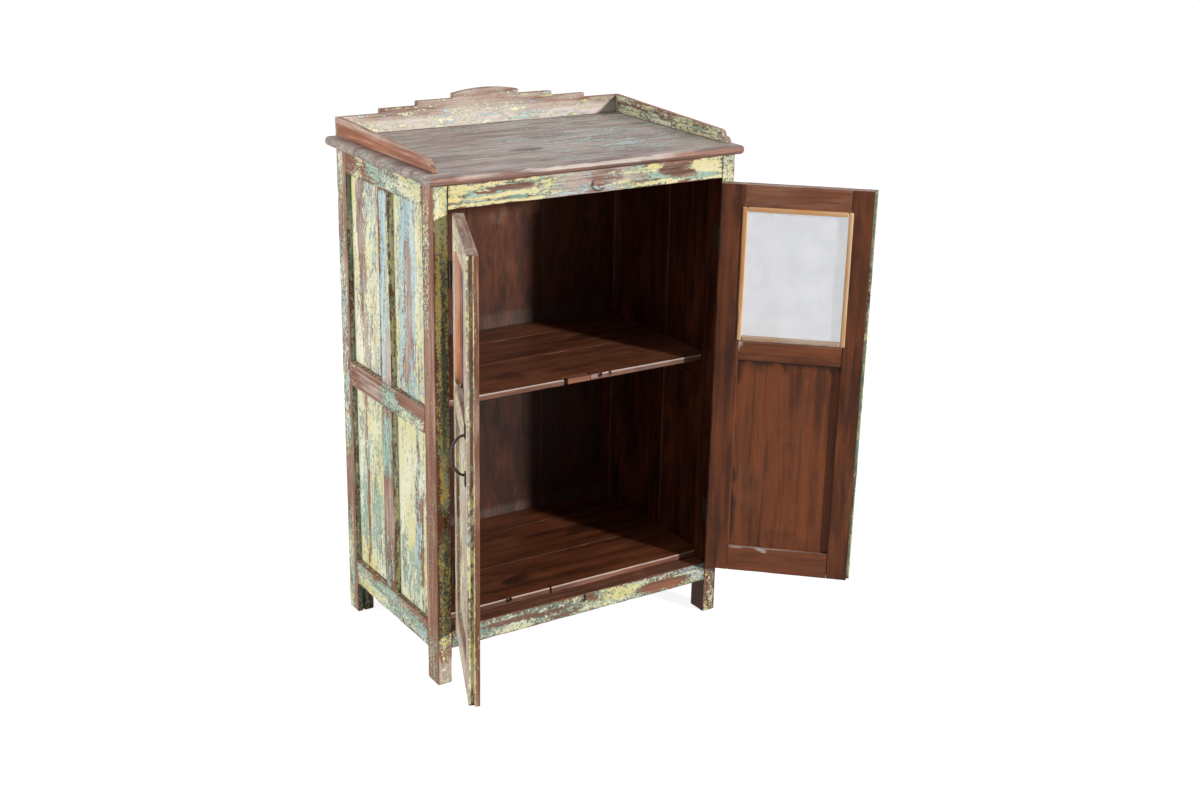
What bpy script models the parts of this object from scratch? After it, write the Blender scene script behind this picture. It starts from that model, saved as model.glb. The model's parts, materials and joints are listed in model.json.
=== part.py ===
"""A small free-standing display cabinet: two gauze-fronted doors, panelled sides and a stepped gallery.

Metres, +Z up, the front towards -Y. Every piece hangs from one empty, which puts the middle of the
open cabinet's footprint at the origin. Lengths across the cabinet are written as insets from its
outer side face, so that one function makes the left and the right.
"""

import math

import bmesh
import bpy
from mathutils import Vector

# Fits
CLEARANCE = 0.0003
TENON_ROOT = 0.002
CUT_OVERSHOOT = 0.002
PANEL_EDGE_GAP = 0.001
SHELF_END_GAP = 0.001

# Carcass
BODY_WIDTH = 0.66
BODY_DEPTH = 0.406
POST_HEIGHT = 0.981
FRONT_POST_WIDTH = 0.030
FRONT_POST_DEPTH = 0.044
BACK_POST_WIDTH = 0.0365
BACK_POST_DEPTH = 0.040
LEG_CLEARANCE = 0.0735

# Tenons
TENON_LENGTH = 0.012
TENON_THICKNESS = 0.008
TENON_SHOULDER = 0.009
MUNTIN_TENON_LENGTH = 0.010

# Side frames and their panels
SIDE_THICKNESS = 0.024
SIDE_TOP_RAIL_HEIGHT = 0.044
SIDE_MID_RAIL_HEIGHT = 0.051
SIDE_BOTTOM_RAIL_HEIGHT = 0.0535
SIDE_MUNTIN_WIDTH = 0.045
PANEL_RECESS = 0.0115
PANEL_THICKNESS = 0.0045
PANEL_GROOVE_DEPTH = 0.008
RAIL_LEDGE_DEPTH = 0.0055
LAP_INSET = 0.001

# Front and back rails
FRONT_TOP_RAIL_HEIGHT = 0.045
FRONT_TOP_RAIL_THICKNESS = 0.022
FRONT_BOTTOM_RAIL_THICKNESS = 0.052
BOTTOM_RAIL_HEIGHT = 0.0415
FRONT_TENON_SETBACK = 0.007
BACK_RAIL_THICKNESS = 0.022
BACK_TOP_RAIL_HEIGHT = 0.045
BACK_BOARD_THICKNESS = 0.011
BACK_BOARD_INSET = 0.012

# Floor and shelf
FLOOR_THICKNESS = 0.0145
FLOOR_SETBACK = 0.036
FLOOR_FRONT_BOARD = 0.141
SHELF_THICKNESS = 0.013
SHELF_SETBACK = 0.042
SHELF_FRONT_BOARD = 0.154
SHELF_UNDERSIDE = 0.5515

# Top board and gallery
TOP_THICKNESS = 0.0175
TOP_SIDE_OVERHANG = 0.013
TOP_FRONT_OVERHANG = 0.015
TOP_BACK_OVERHANG = 0.0225
TOP_FRONT_BOARD = 0.290
TOP_NOSING = 0.0075
NOSING_SEGMENTS = 3
GALLERY_THICKNESS = 0.012
GALLERY_SIDE_INSET = 0.016
GALLERY_BACK_INSET = 0.002
GALLERY_FRONT_INSET = 0.034
GALLERY_OFFSET = 0.006
GALLERY_END_HEIGHT = 0.037
GALLERY_STEP_RISE = 0.0095
GALLERY_STEP_PITCH = 0.080
GALLERY_CENTRE_HALF_WIDTH = 0.0755
GALLERY_STEPS = 3
GALLERY_ARCH_RISE = 0.0075
GALLERY_SCROLL_RADIUS = 0.0115
GALLERY_SCROLL_LEDGE = 0.004
ARC_SEGMENTS = 8

# Doors
DOOR_THICKNESS = 0.021
DOOR_TOP_GAP = 0.0035
DOOR_BOTTOM_GAP = 0.002
DOOR_STILE_WIDTH = 0.0475
DOOR_TOP_RAIL_HEIGHT = 0.0485
DOOR_MID_RAIL_HEIGHT = 0.046
DOOR_BOTTOM_RAIL_HEIGHT = 0.054
DOOR_PANEL_OPENING = 0.406
DOOR_GROOVE_DEPTH = 0.008
DOOR_PANEL_THICKNESS = 0.005
DOOR_PANEL_RAISE = 0.005
DOOR_PANEL_MARGIN = 0.010
DOOR_PANEL_BEVEL = 0.030
MEETING_OVERLAP = 0.005
MEETING_GAP = 0.001
SCREEN_REBATE_WIDTH = 0.005
SCREEN_REBATE_DEPTH = 0.0075
SCREEN_CHAMFER = 0.008
SCREEN_THICKNESS = 0.0008
BEAD_WIDTH = 0.0095
BEAD_THICKNESS = 0.0085
LEFT_DOOR_OPEN = math.radians(113.6)
RIGHT_DOOR_OPEN = math.radians(137.0)

# Hinges
LEAF_THICKNESS = 0.0012
LEAF_WIDTH = 0.017
KNUCKLE_RADIUS = 0.0032
PIN_RADIUS = 0.0012
HINGE_LENGTH = 0.050
HINGE_END_KNUCKLE = 0.015
HINGE_FROM_DOOR_TOP = 0.114
HINGE_FROM_DOOR_BOTTOM = 0.118
ROUND_SIDES = 16

# Bow handle on the left door
HANDLE_HEIGHT = 0.580
HANDLE_FROM_FREE_EDGE = 0.030
HANDLE_HALF_SPAN = 0.036
HANDLE_REACH = 0.024
HANDLE_WIRE_RADIUS = 0.0025
HANDLE_PLATE_WIDTH = 0.013
HANDLE_PLATE_LENGTH = 0.024
HANDLE_PLATE_THICKNESS = 0.002
HANDLE_POINTS = 17

# Places that follow from the sizes above
FRONT_Y = -BODY_DEPTH / 2
BACK_Y = BODY_DEPTH / 2
HALF_WIDTH = BODY_WIDTH / 2
RAIL_TOP = LEG_CLEARANCE + BOTTOM_RAIL_HEIGHT
SIDE_BOTTOM_TOP = RAIL_TOP + RAIL_LEDGE_DEPTH
SIDE_MID_TOP = SHELF_UNDERSIDE + RAIL_LEDGE_DEPTH
SIDE_MID_BOTTOM = SIDE_MID_TOP - SIDE_MID_RAIL_HEIGHT
SIDE_TOP_BOTTOM = POST_HEIGHT - SIDE_TOP_RAIL_HEIGHT
SIDE_FRONT = FRONT_Y + FRONT_POST_DEPTH
SIDE_BACK = BACK_Y - BACK_POST_DEPTH
MUNTIN_FRONT = (SIDE_FRONT + SIDE_BACK - SIDE_MUNTIN_WIDTH) / 2
MUNTIN_BACK = MUNTIN_FRONT + SIDE_MUNTIN_WIDTH
LAP_PLANE = PANEL_RECESS - LAP_INSET
GROOVE_MIDDLE = PANEL_RECESS + PANEL_THICKNESS / 2
BACK_BOARD_FRONT = BACK_Y + CLEARANCE
TOP_SURFACE = POST_HEIGHT + CLEARANCE + TOP_THICKNESS
TOP_FRONT = FRONT_Y - TOP_FRONT_OVERHANG
TOP_BACK = BACK_Y + TOP_BACK_OVERHANG
TOP_HALF_WIDTH = HALF_WIDTH + TOP_SIDE_OVERHANG
GALLERY_HALF_WIDTH = TOP_HALF_WIDTH - GALLERY_SIDE_INSET
DOOR_SIDE_GAP = 2 * LEAF_THICKNESS + 3 * CLEARANCE
OPENING_WIDTH = BODY_WIDTH - 2 * FRONT_POST_WIDTH
DOOR_WIDTH = (OPENING_WIDTH + MEETING_OVERLAP) / 2 - DOOR_SIDE_GAP
DOOR_BOTTOM = RAIL_TOP + DOOR_BOTTOM_GAP
DOOR_TOP = POST_HEIGHT - FRONT_TOP_RAIL_HEIGHT - DOOR_TOP_GAP
PANEL_BOTTOM = DOOR_BOTTOM + DOOR_BOTTOM_RAIL_HEIGHT
PANEL_TOP = PANEL_BOTTOM + DOOR_PANEL_OPENING
SCREEN_BOTTOM = PANEL_TOP + DOOR_MID_RAIL_HEIGHT
SCREEN_TOP = DOOR_TOP - DOOR_TOP_RAIL_HEIGHT
PIN_FROM_FRONT = KNUCKLE_RADIUS + CLEARANCE
PIN_X = HALF_WIDTH - FRONT_POST_WIDTH - DOOR_SIDE_GAP / 2
PIN_Y = FRONT_Y - PIN_FROM_FRONT
DOOR_EDGE = DOOR_SIDE_GAP / 2
DOOR_FREE = DOOR_EDGE + DOOR_WIDTH
DOOR_OUTER = PIN_FROM_FRONT
DOOR_INNER = DOOR_OUTER + DOOR_THICKNESS
DOOR_MIDDLE = (DOOR_OUTER + DOOR_INNER) / 2
STILE_INNER = DOOR_EDGE + DOOR_STILE_WIDTH
STILE_MEETING = DOOR_FREE - DOOR_STILE_WIDTH
HANDLE_U = DOOR_FREE - HANDLE_FROM_FREE_EDGE

SIDES = (("left", -1), ("right", 1))


for leftover in list(bpy.data.objects):
    bpy.data.objects.remove(leftover, do_unlink=True)

pieces = bpy.data.collections.new("display_cabinet")
cutters = bpy.data.collections.new("cutters")
bpy.context.scene.collection.children.link(pieces)
bpy.context.scene.collection.children.link(cutters)


def finish(name, colour, roughness, metallic=0.0):
    """A plain material with one colour."""
    material = bpy.data.materials.new(name)
    material.use_nodes = True
    shader = material.node_tree.nodes["Principled BSDF"]
    shader.inputs["Base Color"].default_value = (*colour, 1.0)
    shader.inputs["Roughness"].default_value = roughness
    shader.inputs["Metallic"].default_value = metallic
    return material


PAINTED_WOOD = finish("worn_painted_wood", (0.72, 0.66, 0.34), 0.75)
BARE_WOOD = finish("bare_outside_wood", (0.23, 0.12, 0.08), 0.7)
INSIDE_WOOD = finish("stained_inside_wood", (0.13, 0.045, 0.022), 0.55)
TOP_WOOD = finish("weathered_top_wood", (0.19, 0.12, 0.09), 0.6)
BEAD_WOOD = finish("pale_bead_wood", (0.75, 0.42, 0.18), 0.6)
GAUZE = finish("wire_gauze", (0.62, 0.64, 0.70), 0.5, 0.6)
IRON = finish("black_iron", (0.02, 0.02, 0.02), 0.5, 0.9)
PAINTED_IRON = finish("painted_iron", (0.35, 0.36, 0.26), 0.6, 0.5)


def empty(name, location, turn=0.0, parent=None):
    """A frame that pieces hang from, turned about the vertical."""
    frame = bpy.data.objects.new(name, None)
    frame.location = location
    frame.rotation_euler = (0.0, 0.0, turn)
    frame.parent = parent
    pieces.objects.link(frame)
    return frame


def plan_corner(side, open_angle, u, v):
    """Where a point of a door lies in plan when the door is open: u along it, v into the cabinet."""
    turn = side * open_angle
    along = -side * u
    x = along * math.cos(turn) - v * math.sin(turn)
    y = along * math.sin(turn) + v * math.cos(turn)
    return side * PIN_X + x, PIN_Y + y


def footprint_middle():
    """The middle of the box round the cabinet with its doors as they stand."""
    corners = [(-TOP_HALF_WIDTH, TOP_FRONT), (TOP_HALF_WIDTH, TOP_BACK)]
    for side, angle in ((-1, LEFT_DOOR_OPEN), (1, RIGHT_DOOR_OPEN)):
        corners.append(plan_corner(side, angle, DOOR_FREE, DOOR_OUTER))
        corners.append(plan_corner(side, angle, DOOR_FREE, DOOR_INNER))
    handle_face = DOOR_OUTER - HANDLE_REACH - HANDLE_WIRE_RADIUS
    corners.append(plan_corner(-1, LEFT_DOOR_OPEN, HANDLE_U, handle_face))
    across = [x for x, y in corners]
    deep = [y for x, y in corners]
    return (min(across) + max(across)) / 2, (min(deep) + max(deep)) / 2


middle_x, middle_y = footprint_middle()
cabinet = empty("cabinet_frame", (-middle_x, -middle_y, 0.0))
left_door = empty("left_door_pin", (-PIN_X, PIN_Y, 0.0), -LEFT_DOOR_OPEN, cabinet)
right_door = empty("right_door_pin", (PIN_X, PIN_Y, 0.0), RIGHT_DOOR_OPEN, cabinet)


def place(name, shape, material, parent, location=(0.0, 0.0, 0.0)):
    """One piece of the cabinet from a bmesh."""
    mesh = bpy.data.meshes.new(name)
    shape.to_mesh(mesh)
    shape.free()
    mesh.materials.append(material)
    piece = bpy.data.objects.new(name, mesh)
    piece.location = location
    piece.parent = parent
    pieces.objects.link(piece)
    return piece


def cuboid(extent):
    """A cube stretched to an extent, ((x0, x1), (y0, y1), (z0, z1)), about its own middle."""
    shape = bmesh.new()
    bmesh.ops.create_cube(shape, size=1.0)
    bmesh.ops.scale(shape, vec=[high - low for low, high in extent], verts=shape.verts)
    return shape


def middle(extent):
    return Vector([(low + high) / 2 for low, high in extent])


def board(name, extent, material, parent=cabinet):
    """A square-edged board."""
    return place(name, cuboid(extent), material, parent, middle(extent))


def helper(name, shape, parent, location):
    """A hidden shape that a Boolean takes off or adds to a piece."""
    mesh = bpy.data.meshes.new(name)
    shape.to_mesh(mesh)
    shape.free()
    cutter = bpy.data.objects.new(name, mesh)
    cutter.location = location
    cutter.parent = parent
    cutter.hide_render = True
    cutter.display_type = "WIRE"
    cutters.objects.link(cutter)
    return cutter


def block(name, extent, parent=cabinet):
    return helper(name, cuboid(extent), parent, middle(extent))


def combine(piece, cutter, operation):
    boolean = piece.modifiers.new(operation.lower(), "BOOLEAN")
    boolean.operation = operation
    boolean.solver = "EXACT"
    boolean.object = cutter


def cut(cutter, *targets):
    for target in targets:
        combine(target, cutter, "DIFFERENCE")


def grown(extent, by=CLEARANCE):
    return tuple((low - by, high + by) for low, high in extent)


def tenon(name, rail, post, extent, parent=cabinet):
    """A tongue on a rail and the mortise that takes it, with the clearance between them."""
    combine(rail, block(name + "_tenon", extent, parent), "UNION")
    cut(block(name + "_mortise", grown(extent), parent), post)


def across(side, outer, inner):
    """The x range between two insets from the cabinet's outer side face."""
    return tuple(sorted((side * (HALF_WIDTH - outer), side * (HALF_WIDTH - inner))))


def post_extent(side, front):
    if front:
        return (across(side, 0.0, FRONT_POST_WIDTH), (FRONT_Y, SIDE_FRONT), (0.0, POST_HEIGHT))
    return (across(side, 0.0, BACK_POST_WIDTH), (SIDE_BACK, BACK_Y), (0.0, POST_HEIGHT))


def muntin_extent(side):
    return (
        across(side, 0.0, SIDE_THICKNESS),
        (MUNTIN_FRONT, MUNTIN_BACK),
        (SIDE_BOTTOM_TOP + CLEARANCE, SIDE_TOP_BOTTOM - CLEARANCE),
    )


def make_posts(name, side):
    """The two legs of one side, ploughed from end to end for the panels."""
    front = board(f"front_post_{name}", post_extent(side, True), PAINTED_WOOD)
    back = board(f"back_post_{name}", post_extent(side, False), PAINTED_WOOD)
    groove = across(side, PANEL_RECESS - CLEARANCE, PANEL_RECESS + PANEL_THICKNESS + CLEARANCE)
    length = (-CUT_OVERSHOOT, POST_HEIGHT + CUT_OVERSHOOT)
    front_depth = (SIDE_FRONT - PANEL_GROOVE_DEPTH, SIDE_FRONT + CUT_OVERSHOOT)
    back_depth = (SIDE_BACK - CUT_OVERSHOOT, SIDE_BACK + PANEL_GROOVE_DEPTH)
    cut(block(f"front_post_groove_{name}", (groove, front_depth, length)), front)
    cut(block(f"back_post_groove_{name}", (groove, back_depth, length)), back)
    return front, back


def side_rail(label, side, low, high, front, back):
    """A rail between the legs of one side, with a tongue into each."""
    extent = (across(side, 0.0, SIDE_THICKNESS), (SIDE_FRONT + CLEARANCE, SIDE_BACK - CLEARANCE), (low, high))
    rail = board(label, extent, PAINTED_WOOD)
    thick = across(side, GROOVE_MIDDLE - TENON_THICKNESS / 2, GROOVE_MIDDLE + TENON_THICKNESS / 2)
    tall = (low + TENON_SHOULDER, high - TENON_SHOULDER)
    ahead = (SIDE_FRONT - TENON_LENGTH, SIDE_FRONT + TENON_ROOT)
    behind = (SIDE_BACK - TENON_ROOT, SIDE_BACK + TENON_LENGTH)
    tenon(label + "_front", rail, front, (thick, ahead, tall))
    tenon(label + "_back", rail, back, (thick, behind, tall))
    return rail


def groove_edge(rail, side, edge, upwards):
    """A panel groove along a rail's top edge, or its bottom edge."""
    wide = across(side, PANEL_RECESS - CLEARANCE, PANEL_RECESS + PANEL_THICKNESS + CLEARANCE)
    long = (SIDE_FRONT - CUT_OVERSHOOT, SIDE_BACK + CUT_OVERSHOOT)
    deep = (edge - PANEL_GROOVE_DEPTH, edge + CUT_OVERSHOOT)
    if not upwards:
        deep = (edge - CUT_OVERSHOOT, edge + PANEL_GROOVE_DEPTH)
    cut(block(f"{rail.name}_groove_{'top' if upwards else 'bottom'}", (wide, long, deep)), rail)


def ledge(rail, side, edge):
    """The step along a rail's inner top edge that carries a shelf."""
    wide = across(side, PANEL_RECESS + PANEL_THICKNESS, SIDE_THICKNESS + CUT_OVERSHOOT)
    long = (SIDE_FRONT - CUT_OVERSHOOT, SIDE_BACK + CUT_OVERSHOOT)
    cut(block(rail.name + "_ledge", (wide, long, (edge - RAIL_LEDGE_DEPTH, edge + CUT_OVERSHOOT))), rail)


def make_muntin(name, side, top_rail, mid_rail, bottom_rail):
    """The upright in the middle of one side, halved behind the middle rail and grooved both edges."""
    extent = muntin_extent(side)
    muntin = board(f"side_muntin_{name}", extent, PAINTED_WOOD)
    wide, deep, tall = extent
    thick = across(side, GROOVE_MIDDLE - TENON_THICKNESS / 2, GROOVE_MIDDLE + TENON_THICKNESS / 2)
    tongue = (MUNTIN_FRONT + TENON_SHOULDER, MUNTIN_BACK - TENON_SHOULDER)
    upper = (SIDE_TOP_BOTTOM - TENON_ROOT, SIDE_TOP_BOTTOM + MUNTIN_TENON_LENGTH)
    lower = (SIDE_BOTTOM_TOP - MUNTIN_TENON_LENGTH, SIDE_BOTTOM_TOP + TENON_ROOT)
    tenon(f"muntin_top_{name}", muntin, top_rail, (thick, tongue, upper))
    tenon(f"muntin_bottom_{name}", muntin, bottom_rail, (thick, tongue, lower))
    notch = (
        across(side, -CUT_OVERSHOOT, LAP_PLANE + CLEARANCE),
        (MUNTIN_FRONT - CUT_OVERSHOOT, MUNTIN_BACK + CUT_OVERSHOOT),
        (SIDE_MID_BOTTOM - CLEARANCE, SIDE_MID_TOP + CLEARANCE),
    )
    cut(block(f"muntin_lap_{name}", notch), muntin)
    halving = (
        across(side, LAP_PLANE, SIDE_THICKNESS + CUT_OVERSHOOT),
        (MUNTIN_FRONT - CLEARANCE, MUNTIN_BACK + CLEARANCE),
        (SIDE_MID_BOTTOM - CUT_OVERSHOOT, SIDE_MID_TOP + CUT_OVERSHOOT),
    )
    cut(block(f"mid_rail_lap_{name}", halving), mid_rail)
    groove = across(side, PANEL_RECESS - CLEARANCE, PANEL_RECESS + PANEL_THICKNESS + CLEARANCE)
    whole = (tall[0] - CUT_OVERSHOOT, tall[1] + CUT_OVERSHOOT)
    ahead = (MUNTIN_FRONT - CUT_OVERSHOOT, MUNTIN_FRONT + PANEL_GROOVE_DEPTH)
    behind = (MUNTIN_BACK - PANEL_GROOVE_DEPTH, MUNTIN_BACK + CUT_OVERSHOOT)
    cut(block(f"muntin_groove_front_{name}", (groove, ahead, whole)), muntin)
    cut(block(f"muntin_groove_back_{name}", (groove, behind, whole)), muntin)


def make_side_panels(name, side):
    """Four thin boards that float in the grooves of one side."""
    reach = PANEL_GROOVE_DEPTH - PANEL_EDGE_GAP
    thick = across(side, PANEL_RECESS, PANEL_RECESS + PANEL_THICKNESS)
    bays = {"front": (SIDE_FRONT, MUNTIN_FRONT), "back": (MUNTIN_BACK, SIDE_BACK)}
    levels = {"lower": (SIDE_BOTTOM_TOP, SIDE_MID_BOTTOM), "upper": (SIDE_MID_TOP, SIDE_TOP_BOTTOM)}
    for level, (low, high) in levels.items():
        for bay, (near, far) in bays.items():
            extent = (thick, (near - reach, far + reach), (low - reach, high + reach))
            board(f"side_panel_{level}_{bay}_{name}", extent, PAINTED_WOOD)


def make_side(name, side):
    front, back = make_posts(name, side)
    top_rail = side_rail(f"side_top_rail_{name}", side, SIDE_TOP_BOTTOM, POST_HEIGHT, front, back)
    mid_rail = side_rail(f"side_mid_rail_{name}", side, SIDE_MID_BOTTOM, SIDE_MID_TOP, front, back)
    bottom_low = SIDE_BOTTOM_TOP - SIDE_BOTTOM_RAIL_HEIGHT
    bottom_rail = side_rail(f"side_bottom_rail_{name}", side, bottom_low, SIDE_BOTTOM_TOP, front, back)
    groove_edge(top_rail, side, SIDE_TOP_BOTTOM, False)
    groove_edge(mid_rail, side, SIDE_MID_TOP, True)
    groove_edge(mid_rail, side, SIDE_MID_BOTTOM, False)
    groove_edge(bottom_rail, side, SIDE_BOTTOM_TOP, True)
    ledge(mid_rail, side, SIDE_MID_TOP)
    ledge(bottom_rail, side, SIDE_BOTTOM_TOP)
    make_muntin(name, side, top_rail, mid_rail, bottom_rail)
    make_side_panels(name, side)
    return front, back


def cross_rail(label, posts, inset, tongue_at, material, deep, tall):
    """A rail across the front or the back, with a tongue into the leg at each end."""
    half = HALF_WIDTH - inset - CLEARANCE
    rail = board(label, ((-half, half), deep, tall), material)
    tongue = (tongue_at, tongue_at + TENON_THICKNESS)
    shouldered = (tall[0] + TENON_SHOULDER, tall[1] - TENON_SHOULDER)
    for (name, side), post in zip(SIDES, posts):
        extent = (across(side, inset - TENON_LENGTH, inset + TENON_ROOT), tongue, shouldered)
        tenon(f"{label}_{name}", rail, post, extent)


def make_cross_rails(front_posts, back_posts):
    """The rails that tie the two sides together."""
    tongue = FRONT_Y + FRONT_TENON_SETBACK
    top_low = POST_HEIGHT - FRONT_TOP_RAIL_HEIGHT
    top_deep = (FRONT_Y, FRONT_Y + FRONT_TOP_RAIL_THICKNESS)
    low_deep = (FRONT_Y, FRONT_Y + FRONT_BOTTOM_RAIL_THICKNESS)
    front = (front_posts, FRONT_POST_WIDTH, tongue, PAINTED_WOOD)
    cross_rail("front_top_rail", *front, top_deep, (top_low, POST_HEIGHT))
    cross_rail("front_bottom_rail", *front, low_deep, (LEG_CLEARANCE, RAIL_TOP))
    back_deep = (BACK_Y - BACK_RAIL_THICKNESS, BACK_Y)
    back_tongue = BACK_Y - (BACK_RAIL_THICKNESS + TENON_THICKNESS) / 2
    back_low = POST_HEIGHT - BACK_TOP_RAIL_HEIGHT
    back = (back_posts, BACK_POST_WIDTH, back_tongue, BARE_WOOD)
    cross_rail("back_top_rail", *back, back_deep, (back_low, POST_HEIGHT))
    cross_rail("back_bottom_rail", *back, back_deep, (LEG_CLEARANCE, RAIL_TOP))


def make_back():
    """Two upright boards nailed to the back of the legs and rails, under the overhang of the top."""
    edge = HALF_WIDTH - BACK_BOARD_INSET
    deep = (BACK_BOARD_FRONT, BACK_BOARD_FRONT + BACK_BOARD_THICKNESS)
    tall = (LEG_CLEARANCE, POST_HEIGHT)
    for name, side in SIDES:
        wide = tuple(sorted((side * edge, side * CLEARANCE / 2)))
        board(f"back_board_{name}", (wide, deep, tall), BARE_WOOD)


def make_shelf(label, low, high, front, front_board):
    """Two boards across the cabinet, on the ledges of the side rails, notched round the uprights."""
    half = HALF_WIDTH - PANEL_RECESS - PANEL_THICKNESS - SHELF_END_GAP
    back = BACK_BOARD_FRONT - CLEARANCE
    seam = front + front_board
    tall = (low + CLEARANCE, high)
    near = board(label + "_front_board", ((-half, half), (front, seam - CLEARANCE / 2), tall), INSIDE_WOOD)
    far = board(label + "_back_board", ((-half, half), (seam + CLEARANCE / 2, back), tall), INSIDE_WOOD)
    notch = (low - CUT_OVERSHOOT, high + CUT_OVERSHOOT)
    for name, side in SIDES:
        cut(block(f"{label}_muntin_notch_{name}", (*grown(muntin_extent(side)[:2]), notch)), near, far)
        cut(block(f"{label}_front_notch_{name}", (*grown(post_extent(side, True)[:2]), notch)), near)
        cut(block(f"{label}_back_notch_{name}", (*grown(post_extent(side, False)[:2]), notch)), far)


def nosed_board(name, extent, rounded, material):
    """A board with a round nosing on the edges that the test picks."""
    shape = cuboid(extent)
    edges = [edge for edge in shape.edges if rounded((edge.verts[0].co + edge.verts[1].co) / 2)]
    bmesh.ops.bevel(
        shape, geom=edges, offset=TOP_NOSING, segments=NOSING_SEGMENTS, profile=0.5, affect="EDGES"
    )
    place(name, shape, material, cabinet, middle(extent))


def make_top():
    """Two boards with a nosing at the front and the sides."""
    wide = (-TOP_HALF_WIDTH, TOP_HALF_WIDTH)
    tall = (POST_HEIGHT + CLEARANCE, TOP_SURFACE)
    seam = TOP_FRONT + TOP_FRONT_BOARD
    tiny = TOP_NOSING / 2
    near = (wide, (TOP_FRONT, seam - CLEARANCE / 2), tall)
    far = (wide, (seam + CLEARANCE / 2, TOP_BACK), tall)
    flat = TOP_THICKNESS / 2 - tiny
    half = TOP_HALF_WIDTH - tiny
    front_face = (TOP_FRONT - seam) / 2 + tiny
    nosed_board(
        "top_front_board",
        near,
        lambda at: abs(at.z) > flat and (abs(at.x) > half or at.y < front_face),
        TOP_WOOD,
    )
    nosed_board("top_back_board", far, lambda at: abs(at.z) > flat and abs(at.x) > half, TOP_WOOD)


def outline_board(name, points, thickness, location, turn, material):
    """A board cut to a closed outline: the points are (along, up), and it stands on its edge."""
    curve = bpy.data.curves.new(name, "CURVE")
    curve.dimensions = "2D"
    curve.fill_mode = "BOTH"
    curve.extrude = thickness / 2
    spline = curve.splines.new("POLY")
    spline.points.add(len(points) - 1)
    for point, (along, up) in zip(spline.points, points):
        point.co = (along, up, 0.0, 1.0)
    spline.use_cyclic_u = True
    curve.materials.append(material)
    piece = bpy.data.objects.new(name, curve)
    piece.location = location
    piece.rotation_euler = (math.pi / 2, 0.0, turn)
    piece.parent = cabinet
    pieces.objects.link(piece)


def gallery_back_outline():
    """Three steps up from each end to a shallow arch in the middle."""
    half = GALLERY_HALF_WIDTH
    crown = GALLERY_END_HEIGHT + GALLERY_STEPS * GALLERY_STEP_RISE
    right = [(half, 0.0), (half, GALLERY_END_HEIGHT)]
    for step in range(GALLERY_STEPS):
        at = GALLERY_CENTRE_HALF_WIDTH + (GALLERY_STEPS - 1 - step) * GALLERY_STEP_PITCH
        right.append((at, GALLERY_END_HEIGHT + step * GALLERY_STEP_RISE))
        right.append((at, GALLERY_END_HEIGHT + (step + 1) * GALLERY_STEP_RISE))
    arch = []
    for index in range(1, 2 * ARC_SEGMENTS):
        along = 1.0 - index / ARC_SEGMENTS
        arch.append((along * GALLERY_CENTRE_HALF_WIDTH, crown + GALLERY_ARCH_RISE * (1.0 - along * along)))
    left = [(-along, up) for along, up in reversed(right)]
    return right + arch + left


def gallery_side_outline(length):
    """A sloping top that falls to the front in two round scrolls; along runs from the back forwards."""
    radius = GALLERY_SCROLL_RADIUS
    points = [(0.0, 0.0), (length, 0.0)]
    for step in (0, 1):
        centre = length - radius - step * (radius + GALLERY_SCROLL_LEDGE)
        for index in range(ARC_SEGMENTS + 1):
            angle = index / ARC_SEGMENTS * math.pi / 2
            if step == 0 and index == 0:
                continue
            points.append((centre + radius * math.cos(angle), (step + math.sin(angle)) * radius))
    points.append((0.0, GALLERY_END_HEIGHT))
    return points


def make_gallery():
    """The low rail round the back and sides of the top, fixed a little to the right of the middle."""
    base = TOP_SURFACE + CLEARANCE
    back_face = TOP_BACK - GALLERY_BACK_INSET
    back_middle = (GALLERY_OFFSET, back_face - GALLERY_THICKNESS / 2, base)
    outline_board("gallery_back", gallery_back_outline(), GALLERY_THICKNESS, back_middle, 0.0, TOP_WOOD)
    start = back_face - GALLERY_THICKNESS - CLEARANCE
    outline = gallery_side_outline(start - TOP_FRONT - GALLERY_FRONT_INSET)
    for name, side in SIDES:
        corner = (GALLERY_OFFSET + side * (GALLERY_HALF_WIDTH - GALLERY_THICKNESS / 2), start, base)
        outline_board(f"gallery_{name}", outline, GALLERY_THICKNESS, corner, -math.pi / 2, TOP_WOOD)


def along(side, near, far):
    """The x range of a door between two distances from its pin."""
    return tuple(sorted((-side * near, -side * far)))


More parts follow.
